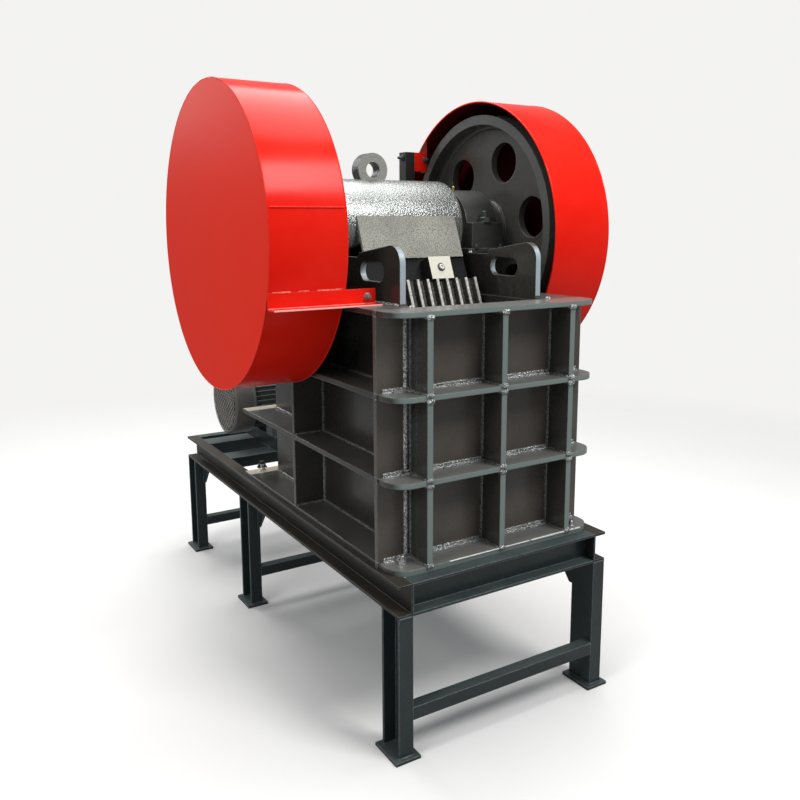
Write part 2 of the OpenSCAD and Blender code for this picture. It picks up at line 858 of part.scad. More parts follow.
side_rails();
cross_rails();
legs_front();
legs_middle();
legs_rear();
leg_ties();
motor_seat();
front_belts();
left_belts();
right_belts();
rear_belts();
front_plate();
rear_plate();
left_wall();
right_wall();
front_ribs();
side_ribs();
fixed_jaw_plate();
cheek_plates();
left_bearing();
right_bearing();
left_guard();
right_guard();
guard_bracket();
guard_posts();
toggle_beam();
toggle_plate();
spring_seat();
return_spring();
motor_body();
fan_cover();
motor_pulley();
main_shaft();
left_flywheel();
right_flywheel();
pitman();
moving_jaw_plate();
apron();
lifting_eye();
tension_rod();
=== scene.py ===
"""Jaw crusher on a channel stand: finishes, small parts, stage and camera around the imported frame."""

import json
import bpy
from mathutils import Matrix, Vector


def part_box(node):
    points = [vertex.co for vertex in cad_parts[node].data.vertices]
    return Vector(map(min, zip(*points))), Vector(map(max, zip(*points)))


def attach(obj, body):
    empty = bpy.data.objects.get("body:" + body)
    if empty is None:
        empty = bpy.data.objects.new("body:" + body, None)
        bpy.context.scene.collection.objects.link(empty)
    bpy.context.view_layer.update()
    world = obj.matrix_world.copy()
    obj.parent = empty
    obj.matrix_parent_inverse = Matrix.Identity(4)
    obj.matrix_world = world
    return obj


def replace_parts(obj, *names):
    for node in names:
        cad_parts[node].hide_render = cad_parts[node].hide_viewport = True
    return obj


bl_info = {
    "name": "Jaw Crusher Details",
    "version": (1, 0, 0),
    "blender": (4, 5, 0),
    "location": "View3D > Sidebar > Crusher",
    "description": "Dresses the crusher's frame with its finishes, welds, bolts and small parts",
    "category": "Object",
}

import bmesh
import bpy
import numpy as np
from bpy.props import FloatProperty, FloatVectorProperty, IntProperty, PointerProperty
from mathutils import Matrix

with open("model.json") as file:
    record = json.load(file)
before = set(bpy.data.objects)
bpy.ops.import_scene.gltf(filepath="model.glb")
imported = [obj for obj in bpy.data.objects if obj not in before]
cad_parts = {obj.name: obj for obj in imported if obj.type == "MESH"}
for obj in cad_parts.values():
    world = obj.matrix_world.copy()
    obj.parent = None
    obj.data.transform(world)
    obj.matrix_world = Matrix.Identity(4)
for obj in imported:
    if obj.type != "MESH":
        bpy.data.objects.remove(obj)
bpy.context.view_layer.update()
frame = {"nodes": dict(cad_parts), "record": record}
NODES = frame["nodes"]

MM = 0.001
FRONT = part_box("side_rails")[0][1]


def span(node):
    """Lowest and highest corner of a node, in mm from the middle of the stand's front at floor level."""
    low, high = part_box(node)
    shift = np.array([0.0, FRONT, 0.0])
    return (np.array(low) - shift) / MM, (np.array(high) - shift) / MM


# sizes read from the frame, in mm; y runs back from the front of the stand
STAND_LOW, STAND_HIGH = span("side_rails")
WALL_HIGH = span("right_wall")[1]
PLATE_LOW, PLATE_HIGH = span("front_plate")
RIBS_LOW = span("front_ribs")[0]
BELTS_LOW, BELTS_HIGH = span("front_belts")
WHEEL_LOW, WHEEL_HIGH = span("right_flywheel")
GUARD_LOW, GUARD_HIGH = span("right_guard")
HEAD_LOW, HEAD_HIGH = span("pitman")
BEARING_LOW, BEARING_HIGH = span("right_bearing")
FAN_LOW, FAN_HIGH = span("fan_cover")
PULLEY_LOW, PULLEY_HIGH = span("motor_pulley")
SPRING_LOW, SPRING_HIGH = span("return_spring")
ROD_HIGH = span("tension_rod")[1]
EYE_LOW, EYE_HIGH = span("lifting_eye")
BRACKET_LOW, BRACKET_HIGH = span("guard_bracket")
POST_LOW, POST_HIGH = span("guard_posts")

SHAFT_Y = (WHEEL_LOW[1] + WHEEL_HIGH[1]) / 2
SHAFT_Z = (WHEEL_LOW[2] + WHEEL_HIGH[2]) / 2
GUARD_R = (GUARD_HIGH[1] - GUARD_LOW[1]) / 2
GUARD_Z = GUARD_HIGH[2] - GUARD_R
WHEEL_R = WHEEL_HIGH[2] - SHAFT_Z
WALL_X = WALL_HIGH[0]
MOTOR_Y = (FAN_LOW[1] + FAN_HIGH[1]) / 2
MOTOR_Z = (FAN_LOW[2] + FAN_HIGH[2]) / 2
ROD_Z = (SPRING_LOW[2] + SPRING_HIGH[2]) / 2

# sizes of the design that the frame's boxes don't tell, in mm; LEAN in radians, SEAM_ANGLE and FIN_GAP in degrees
HEAD_R = 172.0
HEAD_REACH = 24.0
HEAD_BORE = 88.0
SHOULDER = 27.0
THROW = 10.0
JAW_Y = SHAFT_Y + THROW
LEAN = np.radians(22.0)
JAW_SEAT, JAW_WALL_BACK = 188.0, 114.0
JAW_REACH = 847.0
JAW_HALF = 205.0
CLAMP_BOLT_AT = (65.0, -240.0, -231.0)
LEVELS = (571.0, 835.0, 1088.0, 1331.0)
BELT_T = 16.0
BELT_SIDE_X = 391.0
RIB_X = (-270.0, 0.0, 270.0)
RIB_HALF = 10.0
CORNER_BEAD_X = -297.0
REAR_HALF = 252.0
BEARING_SEAT_Z = 1469.0
SEAM_ANGLE = 10.5
TOGGLE_SEAT_Y = 540.0
WEB_AT, WEB_T = 62.0, 28.0
RIM_BORE_R, HUB_R = 400.0, 105.0
DRUM_IN = WHEEL_LOW[0] - 29.0
KEEPER_R, KEEPER_BOLT_R = 80.0, 52.0
HOUSING = (BEARING_LOW[0] + 26.0, BEARING_HIGH[0] - 16.0)
HOUSING_FEET_Y = (588.0, 978.0)
STUD_AT, SEAT_BOLT_AT = 166.0, 189.0
COVER_R, COVER_BOLT_R, SEAL_BOLT_R = 101.0, 88.0, 116.0
EYE_FOOT = 62.0
CHAMBER_Y = 212.0
REAR_SEAT_BOLT = (291.0, 1310.0)
CHANNEL_WIDE, CHANNEL_FLANGE = 100.0, 48.0
FOOT_T = 10.0
TIE_Z = (123.0, 163.0)
MOTOR_R, MOTOR_END_BOLT_R = 138.0, 118.0
MOTOR_FEET_X = (FAN_LOW[0] + 200, FAN_LOW[0] + 420)
MOTOR_FEET_OUT, MOTOR_FEET_Z = 150.0, 640.0
FIN_GAP_BELOW, FIN_GAP_ABOVE = 34.0, 24.0
BOX_LONG, BOX_HALF = 175.0, 75.0
FAN_BLADE_R, FAN_HUB_R = 125.0, 34.0
SCREW_X, SCREW_Z = 150.0, (745.0, 790.0)

RIGHT, BACK, UP, FORWARD = (1, 0, 0), (0, 1, 0), (0, 0, 1), (0, -1, 0)


# Surfaces


def unit(v):
    """Vector of length one."""
    v = np.asarray(v, float)
    return v / np.linalg.norm(v)


def axes_of(axis):
    """Three directions at right angles, the last along axis."""
    w = unit(axis)
    helper = np.array([0.0, 0.0, 1.0]) if abs(w[2]) < 0.9 else np.array([1.0, 0.0, 0.0])
    u = unit(np.cross(helper, w))
    return u, np.cross(w, u), w


def around(count, start=0.0):
    """Angles of even steps round a circle."""
    return start + np.arange(count) * 2 * np.pi / count


def rounded(count, radius=1.0):
    """Round section with that many corners: (radius*cos, radius*sin)."""
    a = around(count)
    return radius * np.stack([np.cos(a), np.sin(a)], -1)


def on_ring(x, y, z, radius, angle):
    """Point of a circle that faces along X: (x, y + radius*cos, z + radius*sin)."""
    return (x, y + radius * np.cos(angle), z + radius * np.sin(angle))


class Shell:
    """Surfaces of one piece, as grids of points in mm, joined into one mesh."""

    def __init__(self):
        self.points, self.quads, self.count = [], [], 0

    def grid(self, p, closed=True):
        """Quads over p[i, j]; with closed, the last column joins the first."""
        n, m = p.shape[:2]
        i = np.arange(n - 1)[:, None]
        j = np.arange(m if closed else m - 1)[None, :]
        k = (j + 1) % m
        quads = np.stack(np.broadcast_arrays(i * m + j, i * m + k, (i + 1) * m + k, (i + 1) * m + j), -1)
        self.points.append(p.reshape(-1, 3))
        self.quads.append(quads.reshape(-1, 4) + self.count)
        self.count += n * m

    def turned(self, profile, at, axis, sides=32, phase=0.0):
        """Profile of (radius, height) turned about an axis: point = at + height*w + radius*(cos*u + sin*v)."""
        r, h = np.array(profile, float).T
        a = around(sides, phase)
        u, v, w = axes_of(axis)
        ring = np.cos(a)[:, None] * u + np.sin(a)[:, None] * v
        self.grid(np.asarray(at, float) + h[:, None, None] * w + r[:, None, None] * ring)

    def swept(self, section, path, side, taper=None):
        """Closed section (a, b) carried along a path: point = path + a*side + b*(direction x side)."""
        path = np.asarray(path, float)
        d = np.gradient(path, axis=0)
        d /= np.linalg.norm(d, axis=1)[:, None]
        s = np.broadcast_to(np.asarray(side, float), path.shape)
        s = s - (s * d).sum(1)[:, None] * d
        s = s / np.linalg.norm(s, axis=1)[:, None]
        b = np.cross(d, s)
        sec = np.asarray(section, float)
        k = np.ones(len(path)) if taper is None else np.asarray(taper, float)
        p = (
            path[:, None]
            + (k[:, None] * sec[:, 0])[..., None] * s[:, None]
            + (k[:, None] * sec[:, 1])[..., None] * b[:, None]
        )
        ends = np.repeat(path[[0, -1], None], len(sec), 1)
        self.grid(np.concatenate([ends[:1], p, ends[1:]]))

    def prism(self, outline, x0, x1):
        """Block between x0 and x1 over a convex outline of (y, z), each end a fan round the outline's middle."""
        yz = np.asarray(outline, float)
        hub = np.repeat(yz.mean(0)[None], len(yz), 0)
        rings = ((x0, hub), (x0, yz), (x1, yz), (x1, hub))
        self.grid(np.array([np.column_stack([np.full(len(q), x), q]) for x, q in rings]))

    def slab(self, low, high, edge=1.5):
        """Block with rounded edges: a rounded rectangle carried along Z, drawn in by edge at both ends."""
        low, high = np.minimum(low, high).astype(float), np.maximum(low, high).astype(float)
        e = min(edge, 0.45 * float((high - low).min()))
        mid, half = (low + high) / 2, (high - low) / 2
        a = np.radians([0, 45, 90])
        rings = []
        for drop, inset in ((0.0, 1.0), (0.3, 0.3), (1.0, 0.0)):
            pts = []
            for sx, sy, start in ((1, 1, 0), (-1, 1, 90), (-1, -1, 180), (1, -1, 270)):
                b = a + np.radians(start)
                r = e * (1.0 - 0.6 * inset)
                cx, cy = sx * (half[0] - e), sy * (half[1] - e)
                pts.append(np.stack([cx + r * np.cos(b), cy + r * np.sin(b)], -1))
            rings.append((drop * e, np.concatenate(pts)))
        order = [(-half[2] + d, q) for d, q in rings] + [(half[2] - d, q) for d, q in rings[::-1]]
        p = np.array([np.column_stack([q, np.full(len(q), z)]) for z, q in order]) + mid
        ends = np.repeat(mid[None, None] + np.array([[[0, 0, -half[2]]], [[0, 0, half[2]]]]), 12, 1)
        self.grid(np.concatenate([ends[:1], p, ends[1:]]))

    def bead(self, start, end, out, radius=4.0, seed=1):
        """Weld bead: a round bar whose radius swells every few mm and wanders a little, half sunk in its corner."""
        start, end = np.asarray(start, float), np.asarray(end, float)
        length = np.linalg.norm(end - start)
        n = max(int(length / 3.2), 5)
        t = np.linspace(0, 1, n)
        rng = np.random.default_rng(seed)
        wobble = np.convolve(rng.normal(0, 1, n + 6), np.ones(7) / 7, "valid")
        swell = 1 + 0.16 * np.abs(np.sin(np.pi * t * length / 7.0)) + 0.14 * wobble
        swell[[0, -1]] = 0.45
        path = start + t[:, None] * (end - start) + 0.35 * radius * unit(out) * (0.6 + 0.4 * wobble)[:, None]
        self.swept(rounded(8, radius), path, out, swell)

    def hem(self, at, axis, big, radius, sides):
        """Round bar carried round a circle: point = at + big*(cos*u + sin*v)."""
        u, v, w = axes_of(axis)
        a = np.radians(np.linspace(0.0, 360.0, sides))
        out = np.cos(a)[:, None] * u + np.sin(a)[:, None] * v
        self.swept(rounded(8, radius), np.asarray(at, float) + big * out, out)

    def bolt(self, at, axis, size=16.0, turn=0.3, washer=True, stud=0.0):
        """Washer, chamfered hexagon and, for a nut, the end of its stud. size is the thread's diameter."""
        at, w = np.asarray(at, float), unit(axis)
        h, r = 0.65 * size, 0.92 * size
        base = 0.0
        if washer:
            t = 0.18 * size
            self.turned([(0, 0), (1.08 * size, 0), (1.1 * size, 0.3 * t), (1.1 * size, 0.8 * t),
                         (1.05 * size, t), (0, t)], at, w, 20)
            base = t
        self.turned([(0, base), (r, base), (r, base + 0.85 * h), (0.86 * r, base + h), (0, base + h)], at, w, 6, turn)
        if stud:
            top = base + h
            self.turned([(0, top), (size / 2, top), (size / 2, top + stud - 1.5), (size / 2 - 1.5, top + stud),
                         (0, top + stud)], at, w, 14)

    def bolt_circle(self, x, y, z, radius, count, side, size, start, **more):
        """Bolts round a circle that faces along X, all pointing to that side."""
        for b in around(count, start):
            self.bolt(on_ring(x, y, z, radius, b), (side, 0, 0), size, b, **more)

    def piece(self, name, finish, slot="machined_steel", body="frame", smooth=40.0):
        """Joins the surfaces into one object at the origin, merged, with normals outwards."""
        pts = np.concatenate(self.points) * MM + np.array([0.0, FRONT, 0.0])
        mesh = bpy.data.meshes.new(name)
        mesh.from_pydata(pts.tolist(), [], np.concatenate(self.quads).tolist())
        bm = bmesh.new()
        bm.from_mesh(mesh)
        bmesh.ops.remove_doubles(bm, verts=bm.verts, dist=2e-5)
        bmesh.ops.dissolve_degenerate(bm, edges=bm.edges, dist=1e-5)
        loose = [v for v in bm.verts if not v.link_faces]
        bmesh.ops.delete(bm, geom=loose, context="VERTS")
        bmesh.ops.recalc_face_normals(bm, faces=bm.faces)
        bm.to_mesh(mesh)
        bm.free()
        mesh.shade_smooth()
        mesh.set_sharp_from_angle(angle=np.radians(smooth))
        obj = bpy.data.objects.new(name, mesh)
        bpy.context.scene.collection.objects.link(obj)
        mesh.materials.append(bpy.data.materials[finish])
        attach(obj, body)
        return obj


# Finishes


COAT = (("Colour", "NodeSocketColor"), ("Roughness", "NodeSocketFloat"), ("Normal", "NodeSocketVector"))


def new_group(name, inputs, outputs=COAT):
    """Node group with named sockets: the group, its inputs to read, its output node. A colour has four numbers."""
    g = bpy.data.node_groups.new(name, "ShaderNodeTree")
    for label, value in inputs:
        kind = "NodeSocketColor" if isinstance(value, tuple) else "NodeSocketFloat"
        g.interface.new_socket(label, in_out="INPUT", socket_type=kind).default_value = value
    for label, kind in outputs:
        g.interface.new_socket(label, in_out="OUTPUT", socket_type=kind)
    return g, g.nodes.new("NodeGroupInput").outputs, g.nodes.new("NodeGroupOutput")


def put_out(g, go, **values):
    """Links values to a group's outputs by name, with _ for a space."""
    for label, value in values.items():
        g.links.new(value, go.inputs[label.replace("_", " ")])


def add(tree, kind, **values):
    """Node with its properties, and its inputs by name or number (as in_Name), set or linked."""
    node = tree.nodes.new(kind)
    for key, value in values.items():
        if not key.startswith("in_"):
            setattr(node, key, value)
    for key, value in values.items():
        if key.startswith("in_"):
            label = key[3:]
            socket = node.inputs[int(label)] if label.isdigit() else node.inputs[label.replace("_", " ")]
            if isinstance(value, bpy.types.NodeSocket):
                tree.links.new(value, socket)
            else:
                socket.default_value = value
    return node


def ramp(tree, source, low, high, to_low=0.0, to_high=1.0):
    """Clamped straight ramp of a value."""
    return add(tree, "ShaderNodeMapRange", in_Value=source, in_From_Min=low, in_From_Max=high,
               in_To_Min=to_low, in_To_Max=to_high).outputs[0]


def math(tree, operation, a, b=0.0):
    """One arithmetic step."""
    return add(tree, "ShaderNodeMath", operation=operation, in_0=a, in_1=b).outputs[0]


def times(tree, a, b):
    """Product of two values."""
    return math(tree, "MULTIPLY", a, b)


def plus(tree, a, b):
    """Sum of two values."""
    return math(tree, "ADD", a, b)


def noise(tree, vector, scale, detail, rough=None):
    """Value of a cloudy noise."""
    more = {} if rough is None else {"in_Roughness": rough}
    return add(tree, "ShaderNodeTexNoise", in_Vector=vector, in_Scale=scale, in_Detail=detail, **more).outputs[0]


def blend_colour(tree, factor, a, b):
    """Mix of two colours."""
    node = add(tree, "ShaderNodeMix", data_type="RGBA", in_0=factor)
    for socket, value in ((node.inputs[6], a), (node.inputs[7], b)):
        if isinstance(value, bpy.types.NodeSocket):
            tree.links.new(value, socket)
        else:
            socket.default_value = value
    return node.outputs[2]


def sprayed_coat_group():
    """Sprayed paint: uneven colour, thin light edges, dust on upper faces and a fine ripple."""
    g, given, go = new_group(
        "sprayed_coat",
        [("Colour", (0.1, 0.1, 0.1, 1)), ("Shade", (0.05, 0.05, 0.05, 1)), ("Edge", (0.5, 0.5, 0.5, 1)),
         ("Dust", (0.5, 0.45, 0.38, 1)), ("Edge Amount", 0.5), ("Edge Width", 0.004), ("Dust Amount", 0.3),
         ("Roughness", 0.35), ("Patch Size", 6.0)],
    )
    place = add(g, "ShaderNodeTexCoord")
    pos = place.outputs["Object"]
    wide = noise(g, pos, given["Patch Size"], 5.0, 0.6)
    fine = noise(g, pos, 90.0, 4.0, 0.65)
    ripple = noise(g, pos, 420.0, 2.0)
    # light rims where the bevel normal bends: partly rubbed paint, partly painted highlight
    round_edge = add(g, "ShaderNodeBevel", samples=4, in_Radius=given["Edge Width"])
    flat = add(g, "ShaderNodeNewGeometry").outputs["True Normal"]
    dot = add(g, "ShaderNodeVectorMath", operation="DOT_PRODUCT", in_0=round_edge.outputs[0], in_1=flat)
    edge = times(g, ramp(g, dot.outputs["Value"], 0.985, 0.80), ramp(g, fine, 0.38, 0.60, 0.35, 1.0))
    edge = times(g, edge, given["Edge Amount"])
    up = add(g, "ShaderNodeSeparateXYZ", in_Vector=place.outputs["Normal"]).outputs[2]
    settled = times(g, ramp(g, up, 0.55, 0.95), ramp(g, wide, 0.30, 0.62, 0.35, 1.0))
    settled = times(g, settled, given["Dust Amount"])
    film = times(g, times(g, ramp(g, fine, 0.50, 0.85), given["Dust Amount"]), 0.35)
    colour = blend_colour(g, ramp(g, wide, 0.35, 0.68), given["Colour"], given["Shade"])
    colour = blend_colour(g, film, colour, given["Dust"])
    colour = blend_colour(g, settled, colour, given["Dust"])
    colour = blend_colour(g, edge, colour, given["Edge"])
    rough = plus(g, given["Roughness"], ramp(g, wide, 0.3, 0.7, -0.05, 0.09))
    rough = plus(g, rough, times(g, settled, 0.45))
    height = plus(g, times(g, fine, 0.6), times(g, ripple, 0.25))
    bump = add(g, "ShaderNodeBump", in_Strength=0.22, in_Distance=0.0012, in_Height=height,
               in_Normal=round_edge.outputs[0])
    put_out(g, go, Colour=colour, Roughness=rough, Normal=bump.outputs[0])


def lumpy_coat_group():
    """Thick silver coat over a rough casting: shallow lumps, dark pores between them, bright crowns."""
    g, given, go = new_group(
        "lumpy_coat",
        [("Colour", (0.5, 0.5, 0.5, 1)), ("Shade", (0.2, 0.2, 0.2, 1)), ("Lump Size", 60.0), ("Depth", 0.6),
         ("Roughness", 0.3)],
    )
    pos = add(g, "ShaderNodeTexCoord").outputs["Object"]
    lumps = add(g, "ShaderNodeTexVoronoi", feature="SMOOTH_F1", in_Vector=pos, in_Scale=given["Lump Size"],
                in_Smoothness=0.6, in_Randomness=1.0).outputs["Distance"]
    cloud = noise(g, pos, given["Lump Size"], 4.0, 0.6)
    broad = noise(g, pos, 7.0, 3.0)
    pores = ramp(g, lumps, 0.28, 0.62)
    height = plus(g, times(g, lumps, -0.9), cloud)
    mask = times(g, pores, ramp(g, cloud, 0.62, 0.38, 0.2, 1.0))
    colour = blend_colour(g, ramp(g, broad, 0.35, 0.7, 0.0, 0.45), given["Colour"], given["Shade"])
    colour = blend_colour(g, mask, colour, given["Shade"])
    rough = plus(g, given["Roughness"], ramp(g, cloud, 0.3, 0.7, -0.06, 0.14))
    bump = add(g, "ShaderNodeBump", in_Strength=given["Depth"], in_Distance=0.004, in_Height=height)
    put_out(g, go, Colour=colour, Roughness=rough, Normal=bump.outputs[0])


def turned_metal_group():
    """Bare steel: fine turning lines, stains and a little rust in the hollows."""
    g, given, go = new_group(
        "turned_metal",
        [("Colour", (0.6, 0.6, 0.58, 1)), ("Rust", (0.16, 0.07, 0.03, 1)), ("Rust Amount", 0.2),
         ("Roughness", 0.35)],
    )
    pos = add(g, "ShaderNodeTexCoord").outputs["Object"]
    stretched = add(g, "ShaderNodeMapping", in_Vector=pos, in_Scale=(900.0, 30.0, 30.0)).outputs[0]
    lines = noise(g, stretched, 1.0, 3.0)
    stain = noise(g, pos, 45.0, 6.0, 0.7)
    rust = times(g, ramp(g, stain, 0.50, 0.66), given["Rust Amount"])
    colour = blend_colour(g, rust, given["Colour"], given["Rust"])
    rough = plus(g, given["Roughness"], times(g, rust, 0.4))
    rough = plus(g, rough, ramp(g, lines, 0.3, 0.7, -0.05, 0.08))
    height = plus(g, times(g, lines, 0.25), stain)
    bump = add(g, "ShaderNodeBump", in_Strength=0.15, in_Distance=0.001, in_Height=height)
    put_out(g, go, Colour=colour, Roughness=rough, Normal=bump.outputs[0])


def place_mask_group():
    """Masks by place: past a plane, past a radius round a line along X, and on faces turned towards that line."""
    g, given, go = new_group(
        "place_mask",
        [("Along Y", 0.0), ("Along Z", 1.0), ("Plane", 0.0), ("Softness", 0.001), ("Centre Y", 0.0),
         ("Centre Z", 0.0), ("Radius", 0.1)],
        [(label, "NodeSocketFloat") for label in
         ("Past Plane", "Past Radius", "Inward", "Flank", "Past Both", "Front Beyond", "Top Beyond")],
    )
    coords = add(g, "ShaderNodeTexCoord")
    part = add(g, "ShaderNodeSeparateXYZ", in_Vector=coords.outputs["Object"])
    normal = add(g, "ShaderNodeSeparateXYZ", in_Vector=coords.outputs["Normal"])
    y = math(g, "SUBTRACT", part.outputs[1], given["Centre Y"])
    z = math(g, "SUBTRACT", part.outputs[2], given["Centre Z"])
    soft = given["Softness"]
    reach = plus(g, times(g, y, given["Along Y"]), times(g, z, given["Along Z"]))
    beyond = math(g, "DIVIDE", math(g, "SUBTRACT", reach, given["Plane"]), soft)
    radius = math(g, "SQRT", plus(g, times(g, y, y), times(g, z, z)))
    outside = math(g, "DIVIDE", math(g, "SUBTRACT", radius, given["Radius"]), soft)
    turned = plus(g, times(g, y, normal.outputs[1]), times(g, z, normal.outputs[2]))
    sideways = times(g, part.outputs[0], normal.outputs[0])
    past = ramp(g, outside, 0.0, 1.0)
    inward = times(g, ramp(g, turned, -0.10, -0.30), past)
    inward = math(g, "MAXIMUM", inward, ramp(g, sideways, -0.10, -0.30))
    flank = ramp(g, math(g, "ABSOLUTE", normal.outputs[0]), 0.80, 0.95)
    over = ramp(g, beyond, 0.0, 1.0)
    front = times(g, over, ramp(g, normal.outputs[1], -0.55, -0.85))
    top = times(g, over, ramp(g, normal.outputs[2], 0.80, 0.95))
    put_out(g, go, Past_Plane=over, Past_Radius=past, Inward=inward, Flank=flank, Past_Both=times(g, over, past),
            Front_Beyond=front, Top_Beyond=top)


def rgba(colour, k=1.0):
    """Colour made lighter or darker by k, as four numbers."""
    return (*(min(c * k, 1.0) for c in colour[:3]), 1.0)


def placed_group(tree, group, values):
    """Node of a group with its inputs set by name, with _ for a space."""
    g = tree.nodes.new("ShaderNodeGroup")
    g.node_tree = bpy.data.node_groups[group]
    for label, value in values.items():
        g.inputs[label.replace("_", " ")].default_value = value if isinstance(value, float) else rgba(value)
    return g


def tinted(name, mask, colour, roughness=None, metallic=None, **values):
    """Lays another colour, roughness and metallic value over a finish where a place mask is one."""
    t = bpy.data.materials[name].node_tree
    shader = t.nodes["Principled BSDF"]
    g = placed_group(t, "place_mask", values)
    socket = shader.inputs["Base Color"]
    t.links.new(blend_colour(t, g.outputs[mask], socket.links[0].from_socket, rgba(colour)), socket)
    for label, value in (("Roughness", roughness), ("Metallic", metallic)):
        if value is not None:
            socket = shader.inputs[label]
            under = socket.links[0].from_socket if socket.is_linked else socket.default_value
            mixed = add(t, "ShaderNodeMix", in_0=g.outputs[mask], in_2=under, in_3=value)
            t.links.new(mixed.outputs[0], socket)


def finish(name, group, metallic=0.0, specular=0.5, coat=0.0, **values):
    """Material with one Principled shader fed by an effect group."""
    m = bpy.data.materials.new(name)
    m.use_nodes = True
    t = m.node_tree
    shader = t.nodes["Principled BSDF"]
    for label, value in (("Metallic", metallic), ("Specular IOR Level", specular), ("Coat Weight", coat),
                         ("Coat Roughness", 0.12)):
        shader.inputs[label].default_value = value
    g = placed_group(t, group, values)
    for label, socket in (("Colour", "Base Color"), ("Roughness", "Roughness"), ("Normal", "Normal")):
        t.links.new(g.outputs[label], shader.inputs[socket])


# Settings


class CrusherPaint(bpy.types.PropertyGroup):
    """Colours of the crusher."""

    guard_red: FloatVectorProperty(name="Guard red", description="Paint of guards and their bracket",
                                   subtype="COLOR", default=(0.78, 0.008, 0.002), min=0, max=1)
    body_dark: FloatVectorProperty(name="Body paint", description="Paint of the body",
                                   subtype="COLOR", default=(0.043, 0.041, 0.036), min=0, max=1)
    head_silver: FloatVectorProperty(name="Head paint", description="Coat of the moving jaw's head",
                                     subtype="COLOR", default=(0.27, 0.28, 0.27), min=0, max=1)
    motor_grey: FloatVectorProperty(name="Motor paint", description="Paint of the motor",
                                    subtype="COLOR", default=(0.060, 0.085, 0.080), min=0, max=1)
    floor_pale: FloatVectorProperty(name="Floor", description="Colour of the floor",
                                    subtype="COLOR", default=(0.80, 0.79, 0.77), min=0, max=1)


class CrusherSizes(bpy.types.PropertyGroup):
    """Sizes of the small parts."""

    bead_radius: FloatProperty(name="Weld bead", description="Radius of the weld beads on the body",
                               default=0.0055, min=0.001, max=0.012, unit="LENGTH")
    bearing_bolt: FloatProperty(name="Bearing bolt", description="Thread of the bearing studs",
                                default=0.024, min=0.01, max=0.04, unit="LENGTH")
    cover_bolts: IntProperty(name="Cover bolts", description="Bolts round one bearing cover", default=6, min=3, max=12)
    motor_fins: IntProperty(name="Motor fins", description="Cooling fins round the motor", default=44, min=8, max=80)
    spring_turns: FloatProperty(name="Spring turns", description="Turns of the return spring", default=6.0, min=2,
                                max=12)
    lens: FloatProperty(name="Lens", description="Focal length on a 36 mm sensor", default=36.9, min=10, max=200)


# Operators


